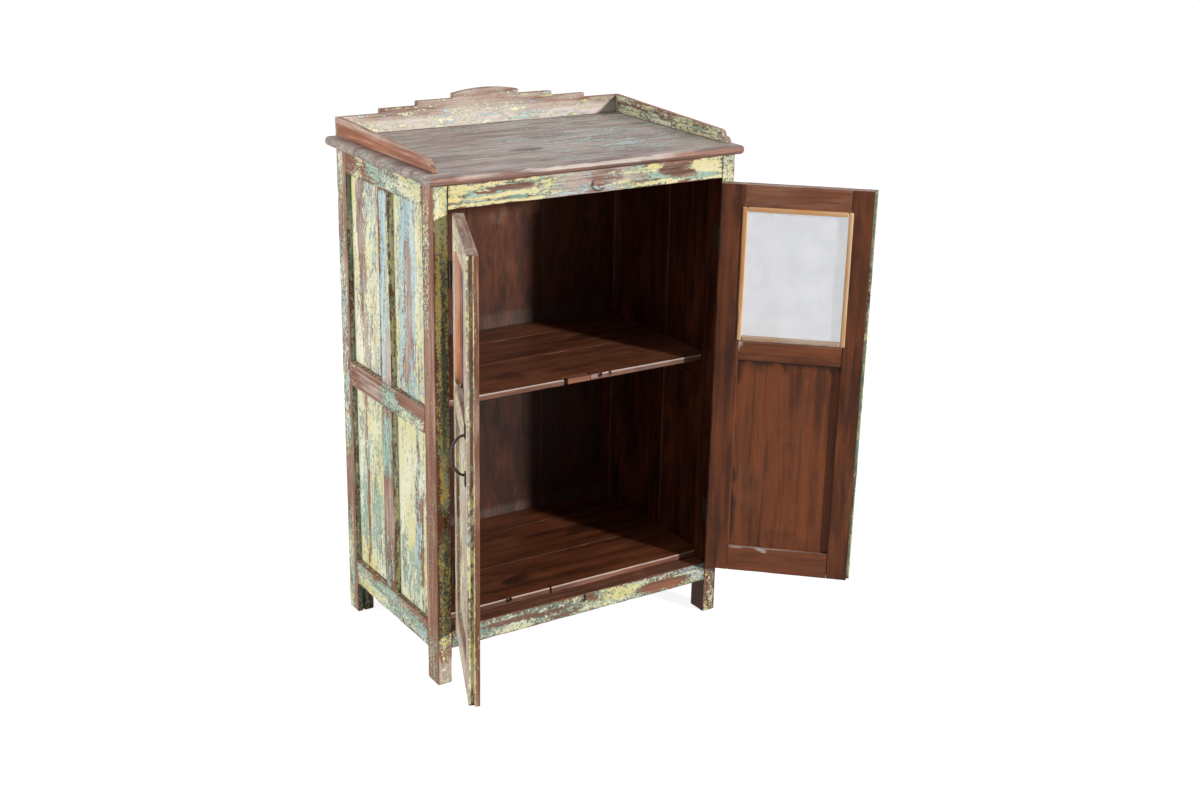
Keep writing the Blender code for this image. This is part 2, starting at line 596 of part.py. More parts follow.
def door_frame(name, side, parent):
    """Two uprights and three rails, tenoned, with the meeting edge rebated to lap the other door."""
    tall = (DOOR_BOTTOM, DOOR_TOP)
    thick = (DOOR_OUTER, DOOR_INNER)
    hinge_extent = (along(side, DOOR_EDGE, STILE_INNER), thick, tall)
    meeting_extent = (along(side, STILE_MEETING, DOOR_FREE), thick, tall)
    hinge = board(f"{name}_door_hinge_stile", hinge_extent, INSIDE_WOOD, parent)
    meeting = board(f"{name}_door_meeting_stile", meeting_extent, INSIDE_WOOD, parent)
    lip = (DOOR_OUTER - CUT_OVERSHOOT, DOOR_MIDDLE + MEETING_GAP / 2)
    if side > 0:
        lip = (DOOR_MIDDLE - MEETING_GAP / 2, DOOR_INNER + CUT_OVERSHOOT)
    lap = along(side, DOOR_FREE - MEETING_OVERLAP - MEETING_GAP, DOOR_FREE + CUT_OVERSHOOT)
    beyond = (DOOR_BOTTOM - CUT_OVERSHOOT, DOOR_TOP + CUT_OVERSHOOT)
    cut(block(f"{name}_door_meeting_rebate", (lap, lip, beyond), parent), meeting)
    rails = {}
    levels = {
        "top": (SCREEN_TOP, DOOR_TOP),
        "mid": (PANEL_TOP, SCREEN_BOTTOM),
        "bottom": (DOOR_BOTTOM, PANEL_BOTTOM),
    }
    tongue = (DOOR_MIDDLE - TENON_THICKNESS / 2, DOOR_MIDDLE + TENON_THICKNESS / 2)
    for level, (low, high) in levels.items():
        label = f"{name}_door_{level}_rail"
        wide = along(side, STILE_INNER + CLEARANCE, STILE_MEETING - CLEARANCE)
        rail = board(label, (wide, thick, (low, high)), INSIDE_WOOD, parent)
        inside = (low + TENON_SHOULDER, high - TENON_SHOULDER)
        near = along(side, STILE_INNER - TENON_LENGTH, STILE_INNER + TENON_ROOT)
        far = along(side, STILE_MEETING - TENON_ROOT, STILE_MEETING + TENON_LENGTH)
        tenon(label + "_hinge", rail, hinge, (near, tongue, inside), parent)
        tenon(label + "_meeting", rail, meeting, (far, tongue, inside), parent)
        rails[level] = rail
    return hinge, meeting, rails


def door_panel(name, side, parent, hinge, meeting, rails):
    """The lower panel: thin edges in grooves, and a field raised on the outside with sloping margins."""
    reach = DOOR_GROOVE_DEPTH - PANEL_EDGE_GAP
    extent = (
        along(side, STILE_INNER - reach, STILE_MEETING + reach),
        (DOOR_MIDDLE - DOOR_PANEL_THICKNESS / 2, DOOR_MIDDLE + DOOR_PANEL_THICKNESS / 2),
        (PANEL_BOTTOM - reach, PANEL_TOP + reach),
    )
    shape = cuboid(extent)
    outer = [face for face in shape.faces if face.normal.y < -0.5]
    bmesh.ops.inset_region(shape, faces=outer, thickness=reach + DOOR_PANEL_MARGIN, depth=0.0)
    bmesh.ops.inset_region(shape, faces=outer, thickness=DOOR_PANEL_BEVEL, depth=DOOR_PANEL_RAISE)
    place(f"{name}_door_panel", shape, PAINTED_WOOD, parent, middle(extent))
    edges = grown(extent)
    deeper = PANEL_EDGE_GAP - CLEARANCE
    groove = (grown(edges[:1], deeper)[0], edges[1], grown(edges[2:], deeper)[0])
    cut(block(f"{name}_door_panel_groove", groove, parent), hinge, meeting, rails["mid"], rails["bottom"])


def door_screen(name, side, parent, hinge, meeting, rails):
    """The gauze in its rebate on the inside, the bead that holds it, and the chamfer round the outside."""
    members = (hinge, meeting, rails["top"], rails["mid"])
    room = SCREEN_REBATE_WIDTH
    rebate_floor = DOOR_INNER - SCREEN_REBATE_DEPTH
    opening = (along(side, STILE_INNER, STILE_MEETING), (SCREEN_BOTTOM, SCREEN_TOP))
    wide, tall = grown(opening, room)
    rebate = (wide, (rebate_floor, DOOR_INNER + CUT_OVERSHOOT), tall)
    cut(block(f"{name}_door_screen_rebate", rebate, parent), *members)
    chamfer_shape = cuboid((opening[0], (0.0, SCREEN_CHAMFER), opening[1]))
    outer = [face for face in chamfer_shape.faces if face.normal.y < -0.5]
    for corner in outer[0].verts:
        corner.co.x += math.copysign(SCREEN_CHAMFER, corner.co.x)
        corner.co.z += math.copysign(SCREEN_CHAMFER, corner.co.z)
    bmesh.ops.translate(chamfer_shape, vec=(0.0, SCREEN_CHAMFER / 2, 0.0), verts=chamfer_shape.verts)
    chamfer_at = Vector((sum(opening[0]) / 2, DOOR_OUTER, sum(opening[1]) / 2))
    cut(helper(f"{name}_door_screen_chamfer", chamfer_shape, parent, chamfer_at), *members)
    wide, tall = grown(opening, room - CLEARANCE)
    screen_face = rebate_floor + CLEARANCE + SCREEN_THICKNESS
    board(f"{name}_door_screen", (wide, (rebate_floor + CLEARANCE, screen_face), tall), GAUZE, parent)
    bead_deep = (screen_face + CLEARANCE, screen_face + CLEARANCE + BEAD_THICKNESS)
    bead = board(f"{name}_door_bead", (wide, bead_deep, tall), BEAD_WOOD, parent)
    inner_wide, inner_tall = (grown((span,), -BEAD_WIDTH)[0] for span in (wide, tall))
    through = grown((bead_deep,), CUT_OVERSHOOT)[0]
    cut(block(f"{name}_door_bead_opening", (inner_wide, through, inner_tall), parent), bead)


def make_door(name, side, parent):
    hinge, meeting, rails = door_frame(name, side, parent)
    door_panel(name, side, parent, hinge, meeting, rails)
    door_screen(name, side, parent, hinge, meeting, rails)


def barrel(name, radius, low, high, parent, at):
    """A hidden upright cylinder about a pin."""
    shape = bmesh.new()
    bmesh.ops.create_cone(
        shape, cap_ends=True, segments=ROUND_SIDES, radius1=radius, radius2=radius, depth=high - low
    )
    return helper(name, shape, parent, (at[0], at[1], (low + high) / 2))


def make_hinge(label, side, door, centre):
    """A butt hinge: the leaf on the leg carries the pin and the end knuckles, the door's the middle one."""
    low = centre - HINGE_LENGTH / 2
    high = centre + HINGE_LENGTH / 2
    joint_low = low + HINGE_END_KNUCKLE
    joint_high = high - HINGE_END_KNUCKLE
    deep = (PIN_FROM_FRONT, PIN_FROM_FRONT + LEAF_WIDTH)
    neck = (0.0, PIN_FROM_FRONT + TENON_ROOT)
    frame_pin = (side * PIN_X, PIN_Y)
    away = along(side, -CLEARANCE / 2, -CLEARANCE / 2 - LEAF_THICKNESS)
    frame_wide = tuple(frame_pin[0] + x for x in away)
    frame_deep = tuple(PIN_Y + y for y in deep)
    frame_neck = tuple(PIN_Y + y for y in neck)
    frame_leaf = board(f"{label}_hinge_frame_leaf", (frame_wide, frame_deep, (low, high)), PAINTED_IRON)
    for end, (start, stop) in {"lower": (low, joint_low), "upper": (joint_high, high)}.items():
        combine(frame_leaf, block(f"{label}_{end}_neck", (frame_wide, frame_neck, (start, stop))), "UNION")
        knuckle = barrel(f"{label}_{end}_knuckle", KNUCKLE_RADIUS, start, stop, cabinet, frame_pin)
        combine(frame_leaf, knuckle, "UNION")
    pin_low = low + TENON_ROOT
    pin = barrel(f"{label}_pin", PIN_RADIUS, pin_low, high - TENON_ROOT, cabinet, frame_pin)
    combine(frame_leaf, pin, "UNION")
    door_wide = along(side, CLEARANCE / 2, CLEARANCE / 2 + LEAF_THICKNESS)
    door_leaf = board(f"{label}_hinge_door_leaf", (door_wide, deep, (low, high)), PAINTED_IRON, door)
    turning = (joint_low + CLEARANCE, joint_high - CLEARANCE)
    combine(door_leaf, block(f"{label}_middle_neck", (door_wide, neck, turning), door), "UNION")
    knuckle = barrel(f"{label}_middle_knuckle", KNUCKLE_RADIUS, *turning, door, (0.0, 0.0))
    combine(door_leaf, knuckle, "UNION")
    bore = barrel(f"{label}_bore", PIN_RADIUS + CLEARANCE, joint_low, joint_high, door, (0.0, 0.0))
    cut(bore, door_leaf)


def make_handle(side, parent):
    """A bent iron bow with a flat foot at each end, fixed to the outside of the meeting stile."""
    curve = bpy.data.curves.new("handle_bow", "CURVE")
    curve.dimensions = "3D"
    curve.bevel_depth = HANDLE_WIRE_RADIUS
    curve.bevel_resolution = 2
    curve.use_fill_caps = True
    spline = curve.splines.new("POLY")
    spline.points.add(HANDLE_POINTS - 1)
    foot = DOOR_OUTER - CLEARANCE - HANDLE_PLATE_THICKNESS / 2
    for index, point in enumerate(spline.points):
        angle = math.pi * index / (HANDLE_POINTS - 1)
        out = foot - (HANDLE_REACH - HANDLE_PLATE_THICKNESS / 2) * math.sin(angle)
        point.co = (-side * HANDLE_U, out, HANDLE_HEIGHT + HANDLE_HALF_SPAN * math.cos(angle), 1.0)
    bow = bpy.data.objects.new("handle_bow", curve)
    cutters.objects.link(bow)
    mesh = bpy.data.meshes.new_from_object(bow.evaluated_get(bpy.context.evaluated_depsgraph_get()))
    bpy.data.objects.remove(bow, do_unlink=True)
    shape = bmesh.new()
    shape.from_mesh(mesh)
    bmesh.ops.remove_doubles(shape, verts=shape.verts, dist=0.00001)
    bmesh.ops.recalc_face_normals(shape, faces=shape.faces)
    bpy.data.meshes.remove(mesh)
    handle = place("door_handle", shape, IRON, parent)
    wide = along(side, HANDLE_U - HANDLE_PLATE_WIDTH / 2, HANDLE_U + HANDLE_PLATE_WIDTH / 2)
    deep = (DOOR_OUTER - CLEARANCE - HANDLE_PLATE_THICKNESS, DOOR_OUTER - CLEARANCE)
    for end, turn in (("upper", 1), ("lower", -1)):
        tall = sorted(
            HANDLE_HEIGHT + turn * (HANDLE_HALF_SPAN + reach)
            for reach in (-2 * HANDLE_WIRE_RADIUS, HANDLE_PLATE_LENGTH - 2 * HANDLE_WIRE_RADIUS)
        )
        combine(handle, block(f"handle_{end}_foot", (wide, deep, tall), parent), "UNION")


legs = [make_side(name, side) for name, side in SIDES]
make_cross_rails([front for front, back in legs], [back for front, back in legs])
make_back()
make_shelf("floor", RAIL_TOP, RAIL_TOP + FLOOR_THICKNESS, FRONT_Y + FLOOR_SETBACK, FLOOR_FRONT_BOARD)
shelf_top = SHELF_UNDERSIDE + SHELF_THICKNESS
make_shelf("shelf", SHELF_UNDERSIDE, shelf_top, FRONT_Y + SHELF_SETBACK, SHELF_FRONT_BOARD)
make_top()
make_gallery()
for (door_name, door_side), door_pin in zip(SIDES, (left_door, right_door)):
    make_door(door_name, door_side, door_pin)
    make_hinge(f"{door_name}_upper", door_side, door_pin, DOOR_TOP - HINGE_FROM_DOOR_TOP)
    make_hinge(f"{door_name}_lower", door_side, door_pin, DOOR_BOTTOM + HINGE_FROM_DOOR_BOTTOM)
make_handle(-1, left_door)
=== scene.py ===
import json
import math

import bmesh
import bpy
import numpy as np
from mathutils import Matrix, Vector

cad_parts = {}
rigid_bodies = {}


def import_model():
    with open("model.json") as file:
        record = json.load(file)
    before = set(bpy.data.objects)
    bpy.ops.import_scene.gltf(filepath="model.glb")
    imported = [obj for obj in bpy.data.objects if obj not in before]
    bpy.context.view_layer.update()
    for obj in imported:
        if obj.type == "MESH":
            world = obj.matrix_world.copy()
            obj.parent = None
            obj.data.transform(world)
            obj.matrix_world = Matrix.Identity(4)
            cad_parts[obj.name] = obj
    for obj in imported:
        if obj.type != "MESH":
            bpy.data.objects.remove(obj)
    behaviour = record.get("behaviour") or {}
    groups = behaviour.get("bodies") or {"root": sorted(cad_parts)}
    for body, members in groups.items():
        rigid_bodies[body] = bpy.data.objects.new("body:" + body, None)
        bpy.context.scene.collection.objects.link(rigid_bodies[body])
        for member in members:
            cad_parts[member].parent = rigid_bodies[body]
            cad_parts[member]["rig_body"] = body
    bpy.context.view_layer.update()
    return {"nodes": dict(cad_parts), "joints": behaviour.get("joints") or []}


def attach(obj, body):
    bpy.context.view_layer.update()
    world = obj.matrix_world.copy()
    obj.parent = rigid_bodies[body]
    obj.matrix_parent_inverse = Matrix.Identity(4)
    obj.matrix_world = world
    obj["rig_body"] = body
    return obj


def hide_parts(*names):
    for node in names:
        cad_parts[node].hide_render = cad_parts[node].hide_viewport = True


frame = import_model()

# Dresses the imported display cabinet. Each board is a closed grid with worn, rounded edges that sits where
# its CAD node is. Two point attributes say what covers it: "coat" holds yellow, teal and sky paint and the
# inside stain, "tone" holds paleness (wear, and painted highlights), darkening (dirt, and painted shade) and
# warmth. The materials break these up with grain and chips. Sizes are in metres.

NODES = frame["nodes"]
CHANNELS = ("y", "t", "s", "stain", "pale", "dirt", "warm")  # the first three are yellow, teal and sky
STAIN, PALE, DIRT_AND_SHADE = (CHANNELS.index(channel) for channel in ("stain", "pale", "dirt"))
SIDES = (("left", -1), ("right", 1))
LEVELS = ("top", "mid", "bottom")
GAP = 0.0003  # between boards that meet
FAR = 9.0  # past the end of any board
ALL = (-FAR, FAR)


# Places


def door_frames():
    """For each body, the matrix from its closed position about the pin to where it stands at rest."""
    found = {"carcass": np.eye(4)}
    for joint in frame["joints"]:
        low, high = joint["range_deg"]
        closed = high if joint["child"] == "left_door" else low
        x, y, _ = joint["pos_m"]
        turn = Matrix.Translation((x, y, 0)) @ Matrix.Rotation(-math.radians(closed), 4, "Z")
        found[joint["child"]] = np.array(turn)
    return found


BODY = door_frames()


def closed_points(node):
    """The corners of a CAD node in its body's own closed frame."""
    back = np.linalg.inv(BODY[NODES[node]["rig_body"]])
    points = np.array([v.co for v in NODES[node].data.vertices])
    return points @ back[:3, :3].T + back[:3, 3]


def extent(node):
    """Lowest and highest corner of a CAD node in its body's own closed frame."""
    points = closed_points(node)
    return points.min(0), points.max(0)


def share(points, box):
    """Where points lie in a box, from 0 to 1 along each axis."""
    low, high = box
    return (points - low) / np.maximum(high - low, 1e-6)


def inside(points, box):
    """How far points are from the nearest edge of a box, seen from the front."""
    low, high = box
    return np.minimum(points - low, high - points)[:, ::2].min(1)


def cut(x=ALL, y=ALL, z=ALL):
    """The lowest and highest corner of a box to cut away."""
    return tuple(np.array([x, y, z], float).T)


# Noise


def hashed(cell, seed):
    """A number from 0 to 1 for each cell, scattered by large odd factors."""
    n = cell[..., 0] * 374761393 + cell[..., 1] * 668265263 + cell[..., 2] * 1440662683 + seed * 974634777
    n = n & 0xFFFFFFFF
    n = ((n ^ (n >> 13)) * 1274126177) & 0xFFFFFFFF
    return ((n ^ (n >> 16)) & 0xFFFF) / 65535.0


def smooth(x):
    x = np.clip(x, 0, 1)
    return x * x * (3 - 2 * x)


def noise(points, scale, seed=0):
    """Smooth noise from 0 to 1; scale is features per metre, one number or one for each axis."""
    at = points * np.asarray(scale, float)
    cell = np.floor(at).astype(np.int64)
    f = smooth(at - cell)
    total = 0.0
    for corner in np.ndindex(2, 2, 2):
        weight = np.prod(np.where(np.array(corner, bool), f, 1 - f), axis=-1)
        total = total + weight * hashed(cell + np.array(corner), seed)
    return total


# Paint layouts

SOFT = 0.18  # softness of a border where the layout doesn't say
RAGGED = (0.1, 0.05)  # how far borders wander across and up, as shares of the face
ACROSS_GRAIN, ALONG_GRAIN = 55.0, 16.0  # how often they wander, per metre


def band(x, low, high, soft):
    """1 between low and high with soft ends; 0 and 1 mean no end at all."""
    rise = 1.0 if low <= 0 else smooth((x - low) / soft + 0.5)
    fall = 1.0 if high >= 1 else smooth((high - x) / soft + 0.5)
    return rise * fall


def crescent(across, up):
    """1 along a ring of radius 1, and less of it towards the upper right."""
    away = np.hypot(across, up)
    lower_left = smooth(0.5 - 0.6 * (across + up) / np.maximum(away, 0.2))
    return np.exp(-(((away - 1) / 0.16) ** 2)) * (0.3 + 0.7 * lower_left)


def entries(layout):
    """Form, place, softness and coats of each entry of a layout, parted by semicolons. "y .5 t .7" lies all
    over the face. "0 .4 .2 1 ~.1: y .9" reaches from 0 to .4 of its width and from .2 to 1 of its height,
    with borders as soft as .1. "oval .3 .6 .1 .2: y 0" has a middle, half a width and half a height."""
    for entry in layout.split(";"):
        place, _, coats = entry.rpartition(":")
        place, _, soft = place.partition("~")
        place, coats = place.split(), coats.split()
        form = place.pop(0) if place and place[0].isalpha() else "area"
        amounts = zip(coats[::2], (float(amount) for amount in coats[1::2]))
        yield form, [float(x) for x in place], float(soft or SOFT), amounts


def paint(layout, t, s, shift=0.0):
    """Channel values from a layout. Its borders are ragged by shift, except where the form is a spot or a
    ring, which has to lie exactly on a carved place."""
    value = np.zeros((len(t), len(CHANNELS)))
    for form, place, soft, amounts in entries(layout):
        loose = shift if form in ("area", "oval") else 0.0
        across, up = t + RAGGED[0] * loose, s + RAGGED[1] * loose
        if form != "area":
            across, up = (across - place[0]) / place[2], (up - place[1]) / place[3]
            weight = crescent(across, up) if form == "ring" else smooth((1.3 - np.hypot(across, up)) / 0.6)
        elif place:
            weight = band(across, *place[:2], soft) * band(up, *place[2:], soft)
        for channel, amount in amounts:
            column = CHANNELS.index(channel)
            value[:, column] = value[:, column] + (amount - value[:, column]) * weight if place else amount
    return value


def dress(points, box, facing, looks, grain, seed, wear, edge):
    """The attributes of some points. looks has a layout for each way a face can point, "cut" for grooves and
    rebates, and "*" for the rest."""
    axis = np.abs(facing).argmax(1)
    sign = np.take_along_axis(facing, axis[:, None], 1)[:, 0]
    part = share(points, box)
    along = np.full(3, ACROSS_GRAIN)
    along[grain] = ALONG_GRAIN
    warp = noise(points, along, seed + 5) + 0.5 * noise(points, along * 2.3, seed + 6) - 0.75
    rest = looks.get("*", "")
    value = np.zeros((len(points), len(CHANNELS)))
    ploughed = np.linalg.norm(facing, axis=1) < 0.5
    value[ploughed] = paint(looks.get("cut", rest), part[ploughed, 0], part[ploughed, 2])
    planes = ((1 - part[:, 1], part[:, 2]), (part[:, 0], part[:, 2]), (part[:, 0], part[:, 1]))
    for a, (across, up) in enumerate(planes):
        for way, mark in ((-1, "-"), (1, "+")):
            here = (axis == a) & (np.sign(sign) == way) & ~ploughed
            value[here] = paint(looks.get(mark + "xyz"[a], rest), across[here], up[here], warp[here])
    rub_and_glint = wear * edge * (0.35 + 0.9 * noise(points, 70, seed + 3))
    thin = 0.98 - 0.32 * noise(points, 0.6 * along, seed + 7)
    value[:, :STAIN] *= (np.clip(1 - rub_and_glint, 0, 1) * thin)[:, None]
    # Rubbed arrises of stained boards are made paler: worn wood, and a painted highlight where the arris
    # would catch light
    value[:, PALE] += 0.15 * rub_and_glint * value[:, STAIN]
    order = [a for a in range(3) if a != grain] + [grain]
    shift = np.array([seed * 1.37 % 5, seed * 2.11 % 5, seed * 0.73 % 5])
    return value, points[:, order] + shift


# Boards

ROUNDING = (0.3, 1.0, 2.6)  # where the grid lines of a rounded end lie, in edge radii
CLOSEST = 0.0003  # least space between grid lines
CARVING = 0.0013  # space between grid lines where a board is carved
CREASE = math.radians(42)  # faces that meet at more than this look sharp
UNEVEN = 0.00035  # how far a face sinks in places
WORN, CHIPPED = 0.0035, 0.008  # how far from an arris the paint is rubbed and chipped


def ticks(low, high, near, far, pitch, cuts, fine):
    """Grid lines along one axis: at the cuts, close together at the rounded ends, evenly spaced between."""
    lines = [low, high]
    lines += [x for x in sorted({round(float(x), 7) for x in cuts}) if low + 1e-5 < x < high - 1e-5]
    ends = [low + near * k for k in ROUNDING] + [high - far * k for k in ROUNDING]
    count = max(1, round((high - low) / pitch))
    for x in ends + list(fine) + list(np.linspace(low, high, count + 1)[1:-1]):
        if low < x < high and min(abs(x - y) for y in lines) > CLOSEST:
            lines.append(x)
    return np.array(sorted(lines))


def lattice(lines, cuts):
    """The closed surface of a block of grid cells, less the cells inside the cuts."""
    keep = np.ones([len(x) - 1 for x in lines], bool)
    middles = [(x[1:] + x[:-1]) / 2 for x in lines]
    for low, high in cuts:
        inside = [(m > a) & (m < b) for m, a, b in zip(middles, low, high)]
        keep &= ~(inside[0][:, None, None] & inside[1][None, :, None] & inside[2][None, None, :])
    shape = [len(x) for x in lines]
    index = np.arange(np.prod(shape)).reshape(shape)
    steps = np.eye(3, dtype=int)
    quads = []
    for axis in range(3):
        solid = np.moveaxis(np.pad(keep, [(int(a == axis), int(a == axis)) for a in range(3)]), axis, 0)
        u, v = steps[(axis + 1) % 3], steps[(axis + 2) % 3]
        ends, begins = solid[:-1] & ~solid[1:], ~solid[:-1] & solid[1:]
        for out, order in ((ends, (0, 1, 2, 3)), (begins, (3, 2, 1, 0))):
            at = np.argwhere(np.moveaxis(out, 0, axis))
            corners = np.stack([index[tuple((at + step).T)] for step in (0 * u, u, u + v, v)], axis=1)
            quads.append(corners[:, order])
    used, quads = np.unique(np.concatenate(quads), return_inverse=True)
    grid = np.stack(np.unravel_index(used, index.shape), axis=1)
    points = np.stack([lines[a][grid[:, a]] for a in range(3)], axis=1)
    return points, quads.reshape(-1, 4)


def tight(axis, radius=0.0016):
    """Edge radii for a board that butts against others at both ends of one axis."""
    radii = [radius] * 3
    radii[axis] = 0.0005
    return radii, radii


def plank(low, high, looks, grain=2, radius=0.0012, pitch=0.0055, cuts=(), seed=1, wear=0.7, chips=0.8,
          shape=None, fine=()):
    """One board with worn edges. radius is one number or a pair of three, for the low and the high sides;
    fine lists (axis, from, to) where the grid is close enough to carve, and shape moves the points in y."""
    low, high = np.array(low, float), np.array(high, float)
    near, far = (np.full(3, radius),) * 2 if np.isscalar(radius) else (np.array(r, float) for r in radius)
    lines = []
    for a in range(3):
        edges = [corner[a] for box in cuts for corner in box]
        close = [x for axis, start, end in fine if axis == a for x in np.arange(start, end, CARVING)]
        step = pitch * 1.8 if a == grain else pitch
        lines.append(ticks(low[a], high[a], near[a], far[a], step, edges, close))
    flat, quads = lattice(lines, cuts)
    chipped = smooth((noise(flat, 55, seed) - 0.62) / 0.2) * chips
    grow = (0.8 + 0.5 * noise(flat, 22, seed + 1) + 1.6 * chipped)[:, None]
    inner = np.clip(flat, low + near * grow, np.maximum(high - far * grow, low + near * grow))
    off = flat - inner
    scaled = off / np.where(off < 0, near * grow, far * grow)
    length = np.linalg.norm(scaled, axis=1, keepdims=True)
    facing = scaled / np.maximum(length, 1e-9)
    sunk = UNEVEN * noise(flat, 30, seed + 2)[:, None]
    points = inner + off / np.maximum(length, 1) - facing * np.where(length > 0.99, sunk, 0)
    gap = np.sort(np.minimum(flat - low, high - flat), axis=1)[:, 1]
    edge = np.exp(-((gap / WORN) ** 2)) + 0.5 * chipped * np.exp(-((gap / CHIPPED) ** 2))
    if shape is not None:
        points[:, 1] = shape(points[:, 1], flat)
    value, coords = dress(flat, (low, high), facing, looks, grain, seed, wear, edge)
    return points, quads, value, coords


def make_mesh(name, parts, body):
    """Some planks as one mesh with their attributes, moved to where the body stands."""
    count = np.cumsum([0] + [len(part[0]) for part in parts])
    points, value, coords = (np.concatenate([part[k] for part in parts]) for k in (0, 2, 3))
    faces = [[int(i + n) for i in face] for part, n in zip(parts, count) for face in part[1]]
    turn = BODY[body]
    mesh = bpy.data.meshes.new(name)
    mesh.from_pydata((points @ turn[:3, :3].T + turn[:3, 3]).tolist(), [], faces)
    for label, kind, field, columns in (
        ("coat", "FLOAT_COLOR", "color", value[:, :PALE]),
        ("tone", "FLOAT_COLOR", "color", np.pad(value[:, PALE:], ((0, 0), (0, 1)))),
        ("grain", "FLOAT_VECTOR", "vector", coords),
    ):
        layer = mesh.attributes.new(label, kind, "POINT")
        layer.data.foreach_set(field, np.ascontiguousarray(columns, np.float32).ravel())
    mesh.shade_smooth()
    mesh.set_sharp_from_angle(angle=CREASE)
    mesh.update()
    return mesh


def piece(name, parts, material, slot, *nodes, body="carcass"):
    """Some planks as one piece that rides a body and stands for CAD nodes."""
    mesh = make_mesh(name, parts, body)
    mesh.materials.append(material)
    made = bpy.data.objects.new(name, mesh)
    bpy.context.scene.collection.objects.link(made)
    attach(made, body)
    if nodes:
        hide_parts(*nodes)
    return made


# Materials


def srgb(*rgb):
    return tuple(((c / 255 + 0.055) / 1.055) ** 2.4 if c > 10 else c / 255 / 12.92 for c in rgb) + (1.0,)


class Wire:
    """An output of a shader node, which adds, subtracts and multiplies as a number does."""

    def __init__(self, graph, socket):
        self.graph = graph
        self.socket = socket

    def __add__(self, other):
        return self.graph.math("ADD", self, other)

    def __sub__(self, other):
        return self.graph.math("SUBTRACT", self, other)

    def __mul__(self, other):
        return self.graph.math("MULTIPLY", self, other)


class Graph:
    """A node tree and short names for the nodes it is made of."""

    def __init__(self, tree):
        self.tree = tree

    def put(self, socket, source):
        """Link a wire to an input, or set the input to a constant."""
        if isinstance(source, Wire):
            self.tree.links.new(source.socket, socket)
        else:
            socket.default_value = source

    def node(self, kind, *inputs, **settings):
        made = self.tree.nodes.new("ShaderNode" + kind)
        for key, setting in settings.items():
            setattr(made, key, setting)
        for socket, source in inputs:
            self.put(made.inputs[socket], source)
        return made

    def wire(self, output, kind, *inputs, **settings):
        """One output of a new node."""
        return Wire(self, self.node(kind, *inputs, **settings).outputs[output])

    def split(self, kind, source):
        """Each output of a new node that takes a colour or a vector apart."""
        return [Wire(self, output) for output in self.node(kind, (0, source)).outputs]

    def attribute(self, name, output):
        return self.wire(output, "Attribute", attribute_name=name)

    def math(self, operation, a, b=0.0):
        return self.wire(0, "Math", (0, a), (1, b), operation=operation)

    def stretch(self, vector, scale, shift=(0, 0, 0)):
        return self.wire(0, "VectorMath", (0, vector), (1, scale), (2, shift), operation="MULTIPLY_ADD")

    def noise(self, vector, scale, detail=4.0, rough=0.6, distortion=0.0):
        keys = ("Vector", "Scale", "Detail", "Roughness", "Distortion")
        return self.wire(0, "TexNoise", *zip(keys, (vector, scale, detail, rough, distortion)))

    def ramp(self, value, low, high, to_low=0.0, to_high=1.0):
        inputs = enumerate((value, low, high, to_low, to_high))
        return self.wire(0, "MapRange", *inputs, interpolation_type="SMOOTHSTEP")

    def mix(self, factor, a, b):
        return self.wire(2, "Mix", (0, factor), (6, a), (7, b), data_type="RGBA")

    def bump(self, height, distance, strength):
        return self.wire(0, "Bump", ("Height", height), ("Distance", distance), ("Strength", strength))


class Surface(Graph):
    """The node tree of a new material."""

    def __init__(self, name):
        self.material = bpy.data.materials.new(name)
        self.material.use_nodes = True
        super().__init__(self.material.node_tree)

    def finish(self, inputs):
        for key, source in inputs.items():
            self.put(self.tree.nodes["Principled BSDF"].inputs[key], source)
        return self.material


